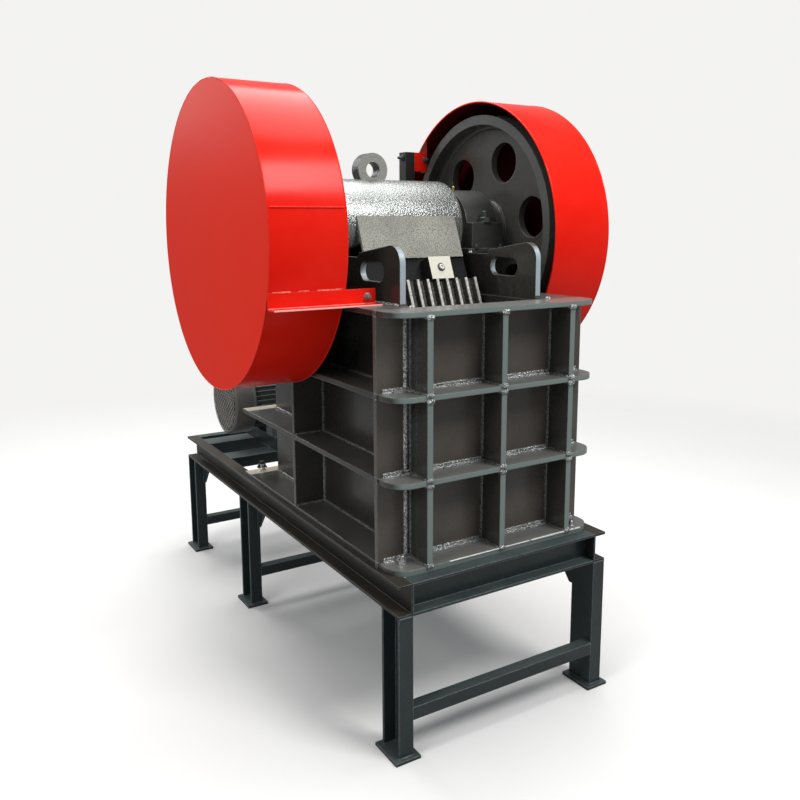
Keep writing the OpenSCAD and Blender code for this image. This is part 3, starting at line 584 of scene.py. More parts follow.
class CRUSHER_OT_finishes(bpy.types.Operator):
    """Makes the finishes and puts them on the frame's own parts"""

    bl_idname = "crusher.finishes"
    bl_label = "Finishes"

    def execute(self, context):
        paint = context.scene.crusher_paint
        sprayed_coat_group()
        lumpy_coat_group()
        turned_metal_group()
        place_mask_group()
        # the Edge colours below give light rims: partly rubbed paint, partly painted highlight
        dust = (0.20, 0.21, 0.19)
        dark, silver, grey = paint.body_dark, paint.head_silver, paint.motor_grey
        # the red's Shade is a slightly paler red in broad patches: a painted reflection
        red = dict(Colour=paint.guard_red, Shade=(0.83, 0.018, 0.008), Edge=(0.95, 0.16, 0.09), Dust=dust,
                   Edge_Amount=0.45, Edge_Width=0.003, Dust_Amount=0.01, Roughness=0.17, Patch_Size=3.0)
        body = dict(Edge=(0.22, 0.235, 0.22), Dust=dust, Edge_Amount=0.85, Edge_Width=0.005, Dust_Amount=0.30,
                    Roughness=0.26, Patch_Size=5.0)
        channel = dict(Edge_Amount=0.70, Edge_Width=0.004, Patch_Size=4.0)
        for name in ("red_bracket_paint", "red_drum_paint", "red_hem_paint"):
            finish(name, "sprayed_coat", specular=0.12, **red)
        for name, colour, shade, coat in (
            ("dark_body_paint", dark, rgba(dark, 0.72), 0.2),
            ("belt_paint", dark, rgba(dark, 0.72), 0.35),
            ("dust_and_light_belt_paint", dark, rgba(dark, 0.72), 0.1),
            ("wheel_paint", (0.085, 0.080, 0.070), (0.055, 0.052, 0.046), 0.1),
            ("bearing_paint", (0.052, 0.051, 0.046), (0.033, 0.033, 0.030), 0.25),
            ("wall_paint", (0.030, 0.027, 0.023), (0.021, 0.019, 0.016), 0.15),
            # painted light: the front plate in the bays gets a lighter, browner copy of the body paint
            ("plate_paint", (0.090, 0.075, 0.063), (0.064, 0.053, 0.045), 0.1),
        ):
            finish(name, "sprayed_coat", coat=coat, Colour=colour, Shade=shade, **body)
        finish("rail_paint", "sprayed_coat", specular=0.35, Colour=(0.017, 0.017, 0.015), Shade=(0.012, 0.011, 0.009),
               Edge=(0.24, 0.25, 0.23), Dust=(0.10, 0.078, 0.054), Dust_Amount=0.30, Roughness=0.36, **channel)
        finish("dark_stand_paint", "sprayed_coat", Colour=(0.020, 0.029, 0.032), Shade=(0.013, 0.020, 0.022),
               Edge=(0.30, 0.36, 0.37), Dust=(0.13, 0.16, 0.15), Dust_Amount=0.35, Roughness=0.30, **channel)
        for name, colour, shade, edge, edges, dusty, rough in (
            ("motor_paint", grey, rgba(grey, 0.7), (0.28, 0.30, 0.29), 0.4, 0.4, 0.40),
            ("fan_shroud_paint", (0.12, 0.115, 0.105), (0.07, 0.07, 0.064), (0.35, 0.35, 0.33), 0.3, 0.3, 0.42),
            ("fan_wire_paint", (0.62, 0.60, 0.54), (0.48, 0.46, 0.42), (0.7, 0.7, 0.66), 0.2, 0.2, 0.45),
        ):
            finish(name, "sprayed_coat", Colour=colour, Shade=shade, Edge=edge, Dust=dust, Edge_Amount=edges,
                   Dust_Amount=dusty, Roughness=rough)
        finish("fan_dark", "sprayed_coat", specular=0.05, Colour=(0.006, 0.006, 0.006), Shade=(0.004, 0.004, 0.004),
               Edge=(0.01, 0.01, 0.01), Dust=(0.02, 0.02, 0.02), Dust_Amount=0.1, Roughness=0.8)
        iron = ((0.034, 0.029, 0.026), (0.014, 0.012, 0.011), 110.0, 0.40, 0.45, 0.25, 0.0)
        for name, colour, shade, size, depth, rough, metallic, coat in (
            ("dull_weld_paint", (0.22, 0.23, 0.22), rgba(dark, 1.1), 150.0, 0.8, 0.20, 0.2, 0.4),
            # weld_paint's pale crowns on a dark bead are painted glints
            ("weld_paint", (0.64, 0.66, 0.64), rgba(dark, 0.9), 160.0, 1.0, 0.12, 0.35, 0.7),
            ("red_weld_paint", (0.95, 0.26, 0.17), (0.80, 0.03, 0.01), 120.0, 0.5, 0.25, 0.0, 0.0),
            ("silver_head_coat", rgba(silver, 1.35), rgba(silver, 0.55), 185.0, 0.34, 0.20, 0.65, 0.3),
            ("silver_sheet_coat", (0.32, 0.315, 0.265), (0.11, 0.108, 0.094), 230.0, 0.30, 0.45, 0.15, 0.0),
            ("eye_iron", (0.13, 0.135, 0.13), (0.05, 0.052, 0.05), 140.0, 0.30, 0.35, 0.3, 0.0),
            ("cast_jaw_iron", *iron), ("fixed_tooth_iron", *iron), ("moving_tooth_iron", *iron),
        ):
            finish(name, "lumpy_coat", metallic, coat=coat, Colour=colour, Shade=shade, Lump_Size=size, Depth=depth,
                   Roughness=rough)
        for name, colour, rust, rough, metallic in (
            ("bare_steel", (0.50, 0.50, 0.48), 0.35, 0.30, 1.0),
            ("zinc_bolt", (0.52, 0.52, 0.50), 0.20, 0.32, 0.9),
            ("dull_bolt", (0.22, 0.20, 0.17), 0.30, 0.40, 0.4),
            ("rim_steel", (0.60, 0.60, 0.57), 0.05, 0.35, 0.2),
            ("black_bolt", (0.075, 0.085, 0.080), 0.10, 0.28, 0.5),
            ("brass_nipple", (0.72, 0.50, 0.20), 0.05, 0.25, 1.0),
        ):
            finish(name, "turned_metal", metallic, Colour=colour, Rust_Amount=rust, Roughness=rough)
        drum = dict(Centre_Y=FRONT + SHAFT_Y * MM, Centre_Z=GUARD_Z * MM, Radius=(GUARD_R - 12) * MM, Softness=0.004)
        # painted light: the guards' side discs get a lighter red than their bands
        tinted("red_drum_paint", "Flank", (0.84, 0.020, 0.002), 0.45, **drum)
        # painted shade: faces turned inwards, inside the drums, go near black
        tinted("red_drum_paint", "Inward", (0.10, 0.006, 0.003), 0.60, **drum)
        # painted highlight: a pale pink line along the front edge of the bracket's lower flange
        tinted("red_bracket_paint", "Front Beyond", (0.95, 0.50, 0.44), 0.3, Along_Z=-1.0,
               Plane=-(BRACKET_LOW[2] + 6.5) * MM)
        # painted highlight: pale bluish white on front faces above the top level, the ears' front edges
        tinted("wall_paint", "Front Beyond", (0.36, 0.42, 0.45), 0.35, Plane=(LEVELS[3] + 4) * MM, Softness=0.004)
        # painted light: the belts' front faces and their tops get lighter greys
        tinted("belt_paint", "Front Beyond", (0.160, 0.198, 0.184), 0.35)
        tinted("belt_paint", "Top Beyond", (0.150, 0.148, 0.138), 0.34)
        # the rear belts' tops are pale tan: partly dust, partly painted light
        tinted("dust_and_light_belt_paint", "Top Beyond", (0.50, 0.44, 0.33), 0.55)
        tinted("wheel_paint", "Past Radius", (0.088, 0.089, 0.083), Centre_Y=FRONT + SHAFT_Y * MM,
               Centre_Z=SHAFT_Z * MM, Radius=(WHEEL_R - 35) * MM, Softness=0.002)
        axis = dict(Centre_Y=FRONT + JAW_Y * MM, Centre_Z=SHAFT_Z * MM)
        c, s = float(np.cos(LEAN)), float(np.sin(LEAN))
        down = dict(Along_Y=-s, Along_Z=-c, **axis)
        # the arm below the head: dark paint, pushed to near black as painted shade
        tinted("silver_head_coat", "Past Both", (0.012, 0.013, 0.012), 0.7, 0.9, Plane=0.115, Radius=0.180,
               Softness=0.006, **down)
        tinted("silver_sheet_coat", "Past Plane", (0.66, 0.64, 0.54), 0.55, Plane=0.185, **down)
        # painted shade: the sideways faces of the apron and its clamp go near black
        tinted("silver_sheet_coat", "Flank", (0.012, 0.012, 0.011), 0.7)
        # painted light: the eye's front face gets a paler grey than its shaded sides
        tinted("eye_iron", "Past Plane", (0.30, 0.30, 0.265), 0.5, Along_Y=-1.0, Along_Z=0.0, Plane=0.0242,
               Softness=0.0006, **axis)
        # pale, worn tooth crests
        bright = (0.45, 0.44, 0.40)
        tinted("fixed_tooth_iron", "Past Plane", bright, Centre_Y=FRONT + PLATE_HIGH[1] * MM, Along_Y=1.0, Along_Z=0.0,
               Plane=0.0490, Softness=0.002)
        tinted("moving_tooth_iron", "Past Plane", bright, Along_Y=-c, Along_Z=s, Plane=0.2370, Softness=0.002, **axis)
        own = {"left_guard": "red_drum_paint", "right_guard": "red_drum_paint", "left_flywheel": "wheel_paint",
               "right_flywheel": "wheel_paint", "apron": "silver_sheet_coat", "lifting_eye": "eye_iron",
               "left_bearing": "bearing_paint", "right_bearing": "bearing_paint", "left_wall": "wall_paint",
               "right_wall": "wall_paint", "front_belts": "belt_paint", "left_belts": "wall_paint",
               "right_belts": "wall_paint", "rear_belts": "dust_and_light_belt_paint", "front_ribs": "belt_paint",
               "side_rails": "rail_paint", "guard_posts": "rail_paint", "front_plate": "plate_paint",
               "fixed_jaw_plate": "fixed_tooth_iron", "moving_jaw_plate": "moving_tooth_iron"}
        by_slot = {"red_paint": "red_bracket_paint", "body_paint": "dark_body_paint",
                   "stand_paint": "dark_stand_paint", "head_paint": "silver_head_coat",
                   "cast_jaw": "cast_jaw_iron", "machined_steel": "bare_steel", "motor_paint": "motor_paint"}
        slots = {row["node"]: row["material_slot"] for row in frame["record"]["subparts"]}
        for node, obj in NODES.items():
            obj.data.materials.clear()
            obj.data.materials.append(bpy.data.materials[own.get(node, by_slot[slots[node]])])
        return {"FINISHED"}


def facing(right, up, back, at):
    """Placement whose X, Y and Z axes are right, up and back."""
    rows = np.column_stack([right, up, back, at])
    return Matrix([*rows.tolist(), [0, 0, 0, 1]])


# name, place, aimed at, side in m, power in W
LAMPS = (
    ("roof_light", (0.4, 0.6, 5.6), (0.0, 0.0, 0.8), 4.5, 300.0),
    ("front_light", (1.2, -3.6, 4.6), (0.0, -0.4, 1.0), 1.6, 150.0),
    ("left_light", (-4.8, -1.8, 3.6), (0.0, 0.0, 1.2), 2.0, 90.0),
    ("rear_light", (-1.0, 5.2, 3.6), (0.0, 0.3, 1.0), 2.4, 80.0),
)
FLOOR_HALF = 14.0
CAMERA_AT = (-1.541, -2.869, 1.577)
# yaw, downward pitch and roll in degrees
CAMERA_TURN = (31.44, 9.69, -0.23)
CAMERA_SHIFT = (-0.0016, -0.0465)


class CRUSHER_OT_stage(bpy.types.Operator):
    """Makes the floor, the soft lights and the camera"""

    bl_idname = "crusher.stage"
    bl_label = "Stage"

    def execute(self, context):
        scene = context.scene
        mesh = bpy.data.meshes.new("floor")
        half = FLOOR_HALF
        mesh.from_pydata([(-half, -half, 0), (half, -half, 0), (half, half, 0), (-half, half, 0)], [], [(0, 1, 2, 3)])
        floor = bpy.data.objects.new("floor", mesh)
        scene.collection.objects.link(floor)
        m = bpy.data.materials.new("pale_floor")
        m.use_nodes = True
        t = m.node_tree
        shader = t.nodes["Principled BSDF"]
        shader.inputs["Roughness"].default_value = 0.85
        place = add(t, "ShaderNodeTexCoord").outputs["Object"]
        pale = scene.crusher_paint.floor_pale
        tint = blend_colour(t, noise(t, place, 2.2, 7.0, 0.6), rgba(pale, 0.96), rgba(pale, 1.03))
        seen = add(t, "ShaderNodeLightPath").outputs["Is Camera Ray"]
        t.links.new(blend_colour(t, seen, rgba(pale, 0.42), tint), shader.inputs["Base Color"])
        spot = add(t, "ShaderNodeVectorMath", operation="LENGTH", in_0=place)
        clear = add(t, "ShaderNodeBsdfTransparent")
        fade = add(t, "ShaderNodeMixShader", in_0=ramp(t, spot.outputs["Value"], 1.8, 5.0), in_1=shader.outputs[0],
                   in_2=clear.outputs[0])
        t.links.new(fade.outputs[0], t.nodes["Material Output"].inputs["Surface"])
        mesh.materials.append(m)
        world = bpy.data.worlds.new("soft_sky")
        scene.world = world
        world.use_nodes = True
        w = world.node_tree
        w.nodes.clear()
        rays = add(w, "ShaderNodeLightPath")
        seen = math(w, "MAXIMUM", rays.outputs["Is Camera Ray"], rays.outputs["Is Transmission Ray"])
        glow, shiny, back = (
            add(w, "ShaderNodeBackground", in_Color=(*colour, 1), in_Strength=strength)
            for colour, strength in (((0.88, 0.94, 1.0), 0.40), ((0.90, 0.94, 0.95), 0.30), ((0.90, 0.895, 0.88), 1.0))
        )
        gloss = add(w, "ShaderNodeMixShader", in_0=rays.outputs["Is Glossy Ray"], in_1=glow.outputs[0],
                    in_2=shiny.outputs[0])
        mix = add(w, "ShaderNodeMixShader", in_0=seen, in_1=gloss.outputs[0], in_2=back.outputs[0])
        add(w, "ShaderNodeOutputWorld", in_Surface=mix.outputs[0])
        for name, at, target, size, watts in LAMPS:
            lamp = bpy.data.lights.new(name, "AREA")
            lamp.shape = "SQUARE"
            lamp.size = size
            lamp.energy = watts
            obj = bpy.data.objects.new(name, lamp)
            u, v, aim = axes_of(np.array(at) - np.array(target))
            obj.matrix_world = facing(u, v, aim, at)
            scene.collection.objects.link(obj)
        yaw, pitch, roll = np.radians(CAMERA_TURN)
        ahead = np.array([np.sin(yaw) * np.cos(pitch), np.cos(yaw) * np.cos(pitch), -np.sin(pitch)])
        right = np.array([np.cos(yaw), -np.sin(yaw), 0.0])
        up = np.cross(right, ahead)
        right, up = right * np.cos(roll) + up * np.sin(roll), up * np.cos(roll) - right * np.sin(roll)
        data = bpy.data.cameras.new("camera")
        data.lens = scene.crusher_sizes.lens
        data.sensor_width = 36.0
        data.shift_x, data.shift_y = CAMERA_SHIFT
        camera = bpy.data.objects.new("camera", data)
        camera.matrix_world = facing(right, up, -ahead, CAMERA_AT)
        scene.collection.objects.link(camera)
        scene.camera = camera
        scene.view_settings.view_transform = "Standard"
        return {"FINISHED"}


class CRUSHER_OT_guards(bpy.types.Operator):
    """Adds hems, seams, bolts and weld beads to the guard drums and their bracket"""

    bl_idname = "crusher.guards"
    bl_label = "Guard seams"

    def execute(self, context):
        for side, name in ((-1, "left"), (1, "right")):
            hems = Shell()
            outer, inner = side * GUARD_HIGH[0], side * DRUM_IN
            middle = np.array([0.0, SHAFT_Y, GUARD_Z])
            for x, inset, radius in ((outer - side * 1.5, 0.6, 2.2), (inner + side * 2.0, 2.0, 3.2)):
                hems.hem(middle + (x, 0, 0), RIGHT, GUARD_R - inset, radius, 240)
            if side < 0:
                a = np.radians(SEAM_ANGLE)
                out = np.array([0, -np.cos(a), np.sin(a)])
                seam = middle + (GUARD_R + 0.4) * out
                hems.bead(seam + (inner + side * 6, 0, 0), seam + (outer - side * 6, 0, 0), out, 2.4, seed=11)
            hems.piece(f"{name}_guard_hems", "red_hem_paint", "red_paint")
        welds = Shell()
        y, top = BRACKET_HIGH[1:]
        edge = SHAFT_Y - np.sqrt(GUARD_R**2 - (top - GUARD_Z) ** 2)
        for k, (x0, x1) in enumerate(((-640, -602), (-560, -520), (-500, -470), (-446, -410))):
            welds.bead((x0, y, top + 1), (x1, y, top + 1), UP, 3.5, seed=20 + k)
        for x in (-600.0, -460.0):
            welds.bead((x - 20, edge, top), (x + 20, edge, top), (0, -1, 1), 2.5, seed=30)
        welds.piece("bracket_welds", "red_weld_paint", "red_paint")
        fixing = Shell()
        fixing.bolt((-331, y - 5, BRACKET_LOW[2] + 25), FORWARD, 12, 0.1, stud=5)
        fixing.piece("bracket_bolt", "dull_bolt")
        bolts = Shell()
        for side in (-1, 1):
            x, z = side * (POST_HIGH[0] - 44), POST_HIGH[2] - 23
            bolts.bolt((x, POST_HIGH[1] - 28, z), (-side, 0, 0), 12, 0.4, stud=14)
            bolts.bolt((side * (DRUM_IN - 5), POST_LOW[1] + 6, z - 6), FORWARD, 12, 0.1, stud=10)
        bolts.piece("guard_bolts", "black_bolt")
        return {"FINISHED"}


class CRUSHER_OT_rotor(bpy.types.Operator):
    """Adds rim and hub fillets, keys and end plates to the flywheels"""

    bl_idname = "crusher.rotor"
    bl_label = "Flywheel details"

    def execute(self, context):
        x0, x1 = WHEEL_LOW[0], WHEEL_HIGH[0]
        at = (0, SHAFT_Y, SHAFT_Z)
        quarter = np.linspace(0, np.pi / 2, 6)
        for side, name in ((-1, "left"), (1, "right")):
            s = Shell()
            w = (side, 0, 0)
            for web, way in ((x0 + WEB_AT, -1), (x0 + WEB_AT + WEB_T, 1)):
                for foot, radius, out, sides in ((RIM_BORE_R, 16, -1, 96), (HUB_R, 14, 1, 64)):
                    curve = [(foot + out * radius * (1 - np.sin(t)), web + way * radius * (1 - np.cos(t)))
                             for t in quarter]
                    s.turned([(foot - out, web), *curve, (foot - out, curve[-1][1])], at, w, sides)
            s.piece(f"{name}_wheel_fillets", "wheel_paint", "body_paint", "rotor")
            steel = Shell()
            face, outer = x1 - 10, x1 + 3
            steel.turned([(0, face), (62, face), (KEEPER_R - 2, face), (KEEPER_R, face + 2), (KEEPER_R, outer - 3),
                          (KEEPER_R - 3, outer), (0, outer)], at, w, 48)
            steel.bolt_circle(side * outer, SHAFT_Y, SHAFT_Z, KEEPER_BOLT_R, 3, side, 14, 0.4)
            steel.slab((side * (x0 - 14), SHAFT_Y - 14, SHAFT_Z + 48),
                       (side * (x0 + 21), SHAFT_Y + 14, SHAFT_Z + 68), 2)
            steel.piece(f"{name}_wheel_keeper", "bare_steel", body="rotor")
        return {"FINISHED"}


class CRUSHER_OT_bearings(bpy.types.Operator):
    """Adds studs, seat bolts, cover bolts, steel bands and grease nipples to the bearing housings"""

    bl_idname = "crusher.bearings"
    bl_label = "Bearing bolts"

    def execute(self, context):
        sizes = context.scene.crusher_sizes
        stud = sizes.bearing_bolt / MM
        x0, x1 = HOUSING
        mid = (x0 + x1) / 2
        seat = BEARING_LOW[2] + 14
        bolts, nipple, rims = Shell(), Shell(), Shell()
        for side in (-1, 1):
            for sy in (-1, 1):
                bolts.bolt((side * mid, SHAFT_Y + sy * STUD_AT, SHAFT_Z + SHOULDER), UP, stud, 0.2, stud=22)
                for x in (x0 + 14, x1 - 12):
                    bolts.bolt((side * x, SHAFT_Y + sy * SEAT_BOLT_AT, seat), UP, 12, 0.6, stud=6)
            n = sizes.cover_bolts
            bolts.bolt_circle(side * (x1 + 16), SHAFT_Y, SHAFT_Z, COVER_BOLT_R, n, side, 10, np.pi / n, washer=False)
            rims.turned([(COVER_R + r, h) for r, h in ((0, 1), (2.5, 1), (3.5, 2), (3.5, 14), (2.5, 15), (0, 15),
                                                       (0, 1))], (side * x1, SHAFT_Y, SHAFT_Z), (side, 0, 0), 96)
            nipple.turned([(0, 0), (6, 0), (6, 5), (4, 6), (4, 11), (5.5, 12.5), (5.5, 15), (3, 17), (0, 17)],
                          (side * 309, SHAFT_Y - 20, SHAFT_Z + 148), (0, -0.15, 1), 14)
        rims.piece("cover_rims", "rim_steel")
        bolts.piece("bearing_bolts", "black_bolt")
        nipple.piece("grease_nipples", "brass_nipple")
        return {"FINISHED"}


def on_jaw(x, y, z):
    """Point of the leaning jaw: y off its axis, z up along its face, both turned by the lean."""
    c, s = np.cos(LEAN), np.sin(LEAN)
    return np.array([x, JAW_Y + y * c + z * s, SHAFT_Z - y * s + z * c])


def head_rings(half, reach, rounding, bore):
    """Rings of the jaw's head: two half circles whose centres lie reach apart, the ends rounded, a round bore.

    Ring at x: point = centre + (HEAD_R - inset) * (cos a, sin a), where x = half - rounding * (1 - sin t) and
    inset = rounding * (1 - cos t) for t from 0 to 90 degrees.
    """
    a = np.radians(np.concatenate([np.linspace(-90, 90, 40), np.linspace(90, 270, 40)]))
    ring = np.stack([np.cos(a), np.sin(a)], -1)
    shift = np.stack([np.where(np.cos(a) < -1e-9, -reach, 0.0), 0 * a], -1)
    shift[40] = shift[-1] = (-reach, 0.0)
    t = np.linspace(0, np.pi / 2, 6)
    radius = HEAD_R - rounding * (1 - np.cos(t))
    x = np.append(half - rounding * (1 - np.sin(t)), half)
    end = np.concatenate([radius[:, None, None] * ring + shift, bore * ring[None]])
    yz = np.concatenate([end, end[::-1], end[:1]])
    x = np.concatenate([x, -x[::-1], x[:1]])
    return np.moveaxis(on_jaw(x[:, None] + 0 * yz[..., 0], yz[..., 0], yz[..., 1]), 0, -1)


class CRUSHER_OT_jaw(bpy.types.Operator):
    """Casts the moving jaw with its rounded head and adds end rings, clamp bolt, weld beads and the rod's thread"""

    bl_idname = "crusher.jaw"
    bl_label = "Moving jaw details"

    def execute(self, context):
        out = on_jaw(0, -1, 0) - on_jaw(0, 0, 0)
        half = HEAD_HIGH[0]
        casting = Shell()
        casting.grid(head_rings(half, HEAD_REACH, 14.0, HEAD_BORE))
        wall = ((-JAW_SEAT, 16), (-JAW_SEAT, -JAW_REACH), (-JAW_WALL_BACK, -JAW_REACH), (-JAW_WALL_BACK, 105))
        rib = ((-124, -817), (-34, -757), (128, -100), (-124, -100))
        for outline, x0, x1 in ((wall, -JAW_HALF, JAW_HALF), *((rib, x - 15, x + 15) for x in (-180.0, 0.0, 180.0))):
            casting.prism([on_jaw(0, y, z)[1:] for y, z in outline], x0, x1)
        low = HEAD_LOW[2] + 10
        back = JAW_Y - 118 / np.cos(LEAN)
        lean = np.tan(LEAN)
        casting.prism([(back - (SHAFT_Z - low - 50) * lean, low + 50), (back - (SHAFT_Z - low) * lean + 48, low),
                       (TOGGLE_SEAT_Y, low), (TOGGLE_SEAT_Y, low + 90),
                       (back - (SHAFT_Z - low - 110) * lean, low + 110)], -200, 200)
        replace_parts(casting.piece("jaw_casting", "silver_head_coat", "head_paint", "jaw", smooth=50), "pitman")
        rings = Shell()
        for side in (-1, 1):
            rings.turned([(86, 0), (HEAD_R - 22, 0), (HEAD_R - 20, 3), (HEAD_R - 20, 5), (HEAD_R - 23, 6), (86, 6)],
                         (side * (half - 3), JAW_Y, SHAFT_Z), (side, 0, 0), 64)
            rings.bolt_circle(side * (half + 2.5), JAW_Y, SHAFT_Z, SEAL_BOLT_R, 6, side, 8, 0.3, washer=False)
        rings.piece("head_seal_rings", "silver_head_coat", "head_paint", "jaw")
        for name, coat, profile, sides in (
            ("clamp_bolt", "zinc_bolt", [(0, 0), (10.5, 0), (10.5, 5), (9, 7), (5, 7), (4, 3), (0, 3)], 20),
            ("clamp_bolt_washer", "black_bolt", [(10, 0), (15, 0), (15, 1.2), (10, 1.2), (10, 0)], 24),
        ):
            clamp = Shell()
            clamp.turned(profile, on_jaw(*CLAMP_BOLT_AT), out, sides)
            clamp.piece(name, coat, body="jaw")
        weld = Shell()
        eye_x = (EYE_LOW[0] + EYE_HIGH[0]) / 2
        reach = (EYE_HIGH[1] - EYE_LOW[1]) / 2
        side_z = SHAFT_Z + np.sqrt(HEAD_R**2 - reach**2)
        end_z = SHAFT_Z + HEAD_R - 2
        for y, s in ((JAW_Y - reach, -1), (JAW_Y + reach, 1)):
            weld.bead((eye_x - EYE_FOOT, y, side_z), (eye_x + EYE_FOOT, y, side_z), (0, s, 1), 5, seed=41)
        for x, s in ((eye_x - EYE_FOOT, -1), (eye_x + EYE_FOOT, 1)):
            weld.bead((x, JAW_Y - reach, end_z), (x, JAW_Y + reach, end_z), (s, 0, 1), 5, seed=42)
        for x in (-201, 201):
            weld.bead(on_jaw(x, -190, -176), on_jaw(x, -190, -28), (x, 0, 0), 2.5, seed=43)
        weld.piece("jaw_welds", "silver_sheet_coat", "head_paint", "jaw")
        nuts = Shell()
        y1 = ROD_HIGH[1]
        nuts.bolt((0, y1 - 21, ROD_Z), BACK, 28, 0.1, washer=False)
        for k in range(26):
            nuts.turned([(13, -1.6), (15.2, 0), (13, 1.6)], (0, y1 - 6 - 4.0 * k, ROD_Z), BACK, 20)
        nuts.piece("rod_thread", "bare_steel", body="jaw")
        return {"FINISHED"}


class CRUSHER_OT_body_welds(bpy.types.Operator):
    """Lays weld beads where ribs, belts and plates meet"""

    bl_idname = "crusher.body_welds"
    bl_label = "Body welds"

    def execute(self, context):
        r = context.scene.crusher_sizes.bead_radius / MM
        y0, y1 = RIBS_LOW[1], PLATE_LOW[1]
        tiers = [(low, high - BELT_T) for low, high in zip(LEVELS[:-1], LEVELS[1:])]
        seed = 100
        front, dull = Shell(), Shell()
        cells = (1 - BELT_SIDE_X, *RIB_X, BELT_SIDE_X - 1)
        for low, high in tiers:
            front.bead((CORNER_BEAD_X, y1, low + 4), (CORNER_BEAD_X, y1, high - 4), FORWARD, 1.1 * r, seed)
            for x in RIB_X:
                for s in (-1, 1):
                    e = x + s * RIB_HALF
                    for start, end, out in (((e, y1, low), (e, y1, high), (s, -1, 0)),
                                            ((e, y0 + 3, low), (e, y1, low), (s, 0, 1)),
                                            ((e, y0 + 3, high), (e, y1, high), (s, 0, -1))):
                        dull.bead(start, end, out, r, seed)
                        seed += 1
                for z, up in ((low, 1), (high, -1)):
                    front.bead((x - RIB_HALF - 3, y0, z), (x + RIB_HALF + 3, y0, z), (0, -1, up), 1.2 * r, seed)
                    seed += 1
            for a, b in zip(cells[:-1], cells[1:]):
                for dy, dz, k in ((0.0, 0.0, 1.2), (-9.0, 0.0, 0.8), (-2.0, 9.0, 0.7)):
                    front.bead((a + 14, y1 + dy, low + dz), (b - 14, y1 + dy, low + dz), (0, -1, 1), k * r, seed)
                    seed += 1
                dull.bead((a + 12, y1, high), (b - 12, y1, high), (0, -1, -1), r, seed)
                seed += 1
        front.piece("front_welds", "weld_paint", "body_paint")
        dull.piece("rib_welds", "dull_weld_paint", "body_paint")
        side = Shell()
        rib0, rib1 = span("side_ribs")[0][1], span("side_ribs")[1][1]
        plate0, plate1, back = PLATE_LOW[1], PLATE_HIGH[1], WALL_HIGH[1]
        for s in (-1, 1):
            x, edge = s * WALL_X, s * BELT_SIDE_X
            for low, high in tiers:
                beads = []
                for z, up in ((low, 1), (high, -1)):
                    beads += [((x, a, z), (x, b, z), (s, 0, up)) for a, b in ((plate1, rib0), (rib1, back))]
                    beads += [((x, y, z), (edge - s * 5, y, z), (0, y - rib0 - 8, up)) for y in (rib0, rib1)]
                beads += [((x, y, low), (x, y, high), (s, out, 0)) for y, out in ((rib0, -1), (rib1, 1), (plate1, 1))]
                for start, end, out in beads:
                    side.bead(start, end, out, r, seed)
                    seed += 1
                for z, up in ((low, 1), (high, -1)):
                    side.bead((edge, plate0 - 1, z), (edge, plate1 + 1, z), (s, 0, up), r, seed)
                seed += 1
        side.piece("side_welds", "dull_weld_paint", "body_paint")
        top = Shell()
        z, seat = LEVELS[3], BEARING_SEAT_Z
        for s in (-1, 1):
            x = s * WALL_X
            top.bead((x, CHAMBER_Y, z), (x, back, z), (s, 0, 1), r, seed)
            top.bead((x - s * 20, plate1, z), (x, plate1, z), (0, -1, 1), r, seed)
            seed += 1
            for y in HOUSING_FEET_Y:
                top.bead((s * 256, y, seat), (s * 272, y, seat), (0, y - SHAFT_Y, 1), r, seed)
                seed += 1
        for z in LEVELS[1:]:
            top.bead((-REAR_HALF, back, z), (REAR_HALF, back, z), (0, 1, 1), r, seed)
            seed += 1
        top.piece("top_welds", "weld_paint", "body_paint")
        return {"FINISHED"}


class CRUSHER_OT_fastening(bpy.types.Operator):
    """Adds the bolts of the base plate and of the rear seat, and a painted highlight along the plate's front edge"""

    bl_idname = "crusher.fastening"
    bl_label = "Body bolts"

    def execute(self, context):
        bolts = Shell()
        z = LEVELS[0]
        for x, y, size in ((-330, 104, 14), (301, 55, 14), (-372, 160, 10), (372, 160, 10), (-330, 1208, 14),
                           (330, 1208, 14)):
            bolts.bolt((x, y, z), UP, size, 0.3 + y, stud=size)
        bolts.piece("base_bolts", "zinc_bolt")
        # painted highlight: a bare-steel strip along the base plate's front top edge
        bright = Shell()
        y, z = BELTS_LOW[1], z - 1.5
        for x0, x1, radius, seed in ((-200, 112, 2.2, 91), (118, BELTS_HIGH[0] - 60, 3.0, 92)):
            bright.bead((x0, y, z), (x1, y, z), (0, -1, 0.3), radius, seed)
        bright.piece("base_edge_highlight", "rim_steel", "body_paint")
        seat = Shell()
        for side in (-1, 1):
            seat.bolt((side * REAR_SEAT_BOLT[0], REAR_SEAT_BOLT[1], STAND_HIGH[2]), UP, 20, 0.6, stud=12)
        seat.piece("rear_seat_bolts", "black_bolt")
        return {"FINISHED"}


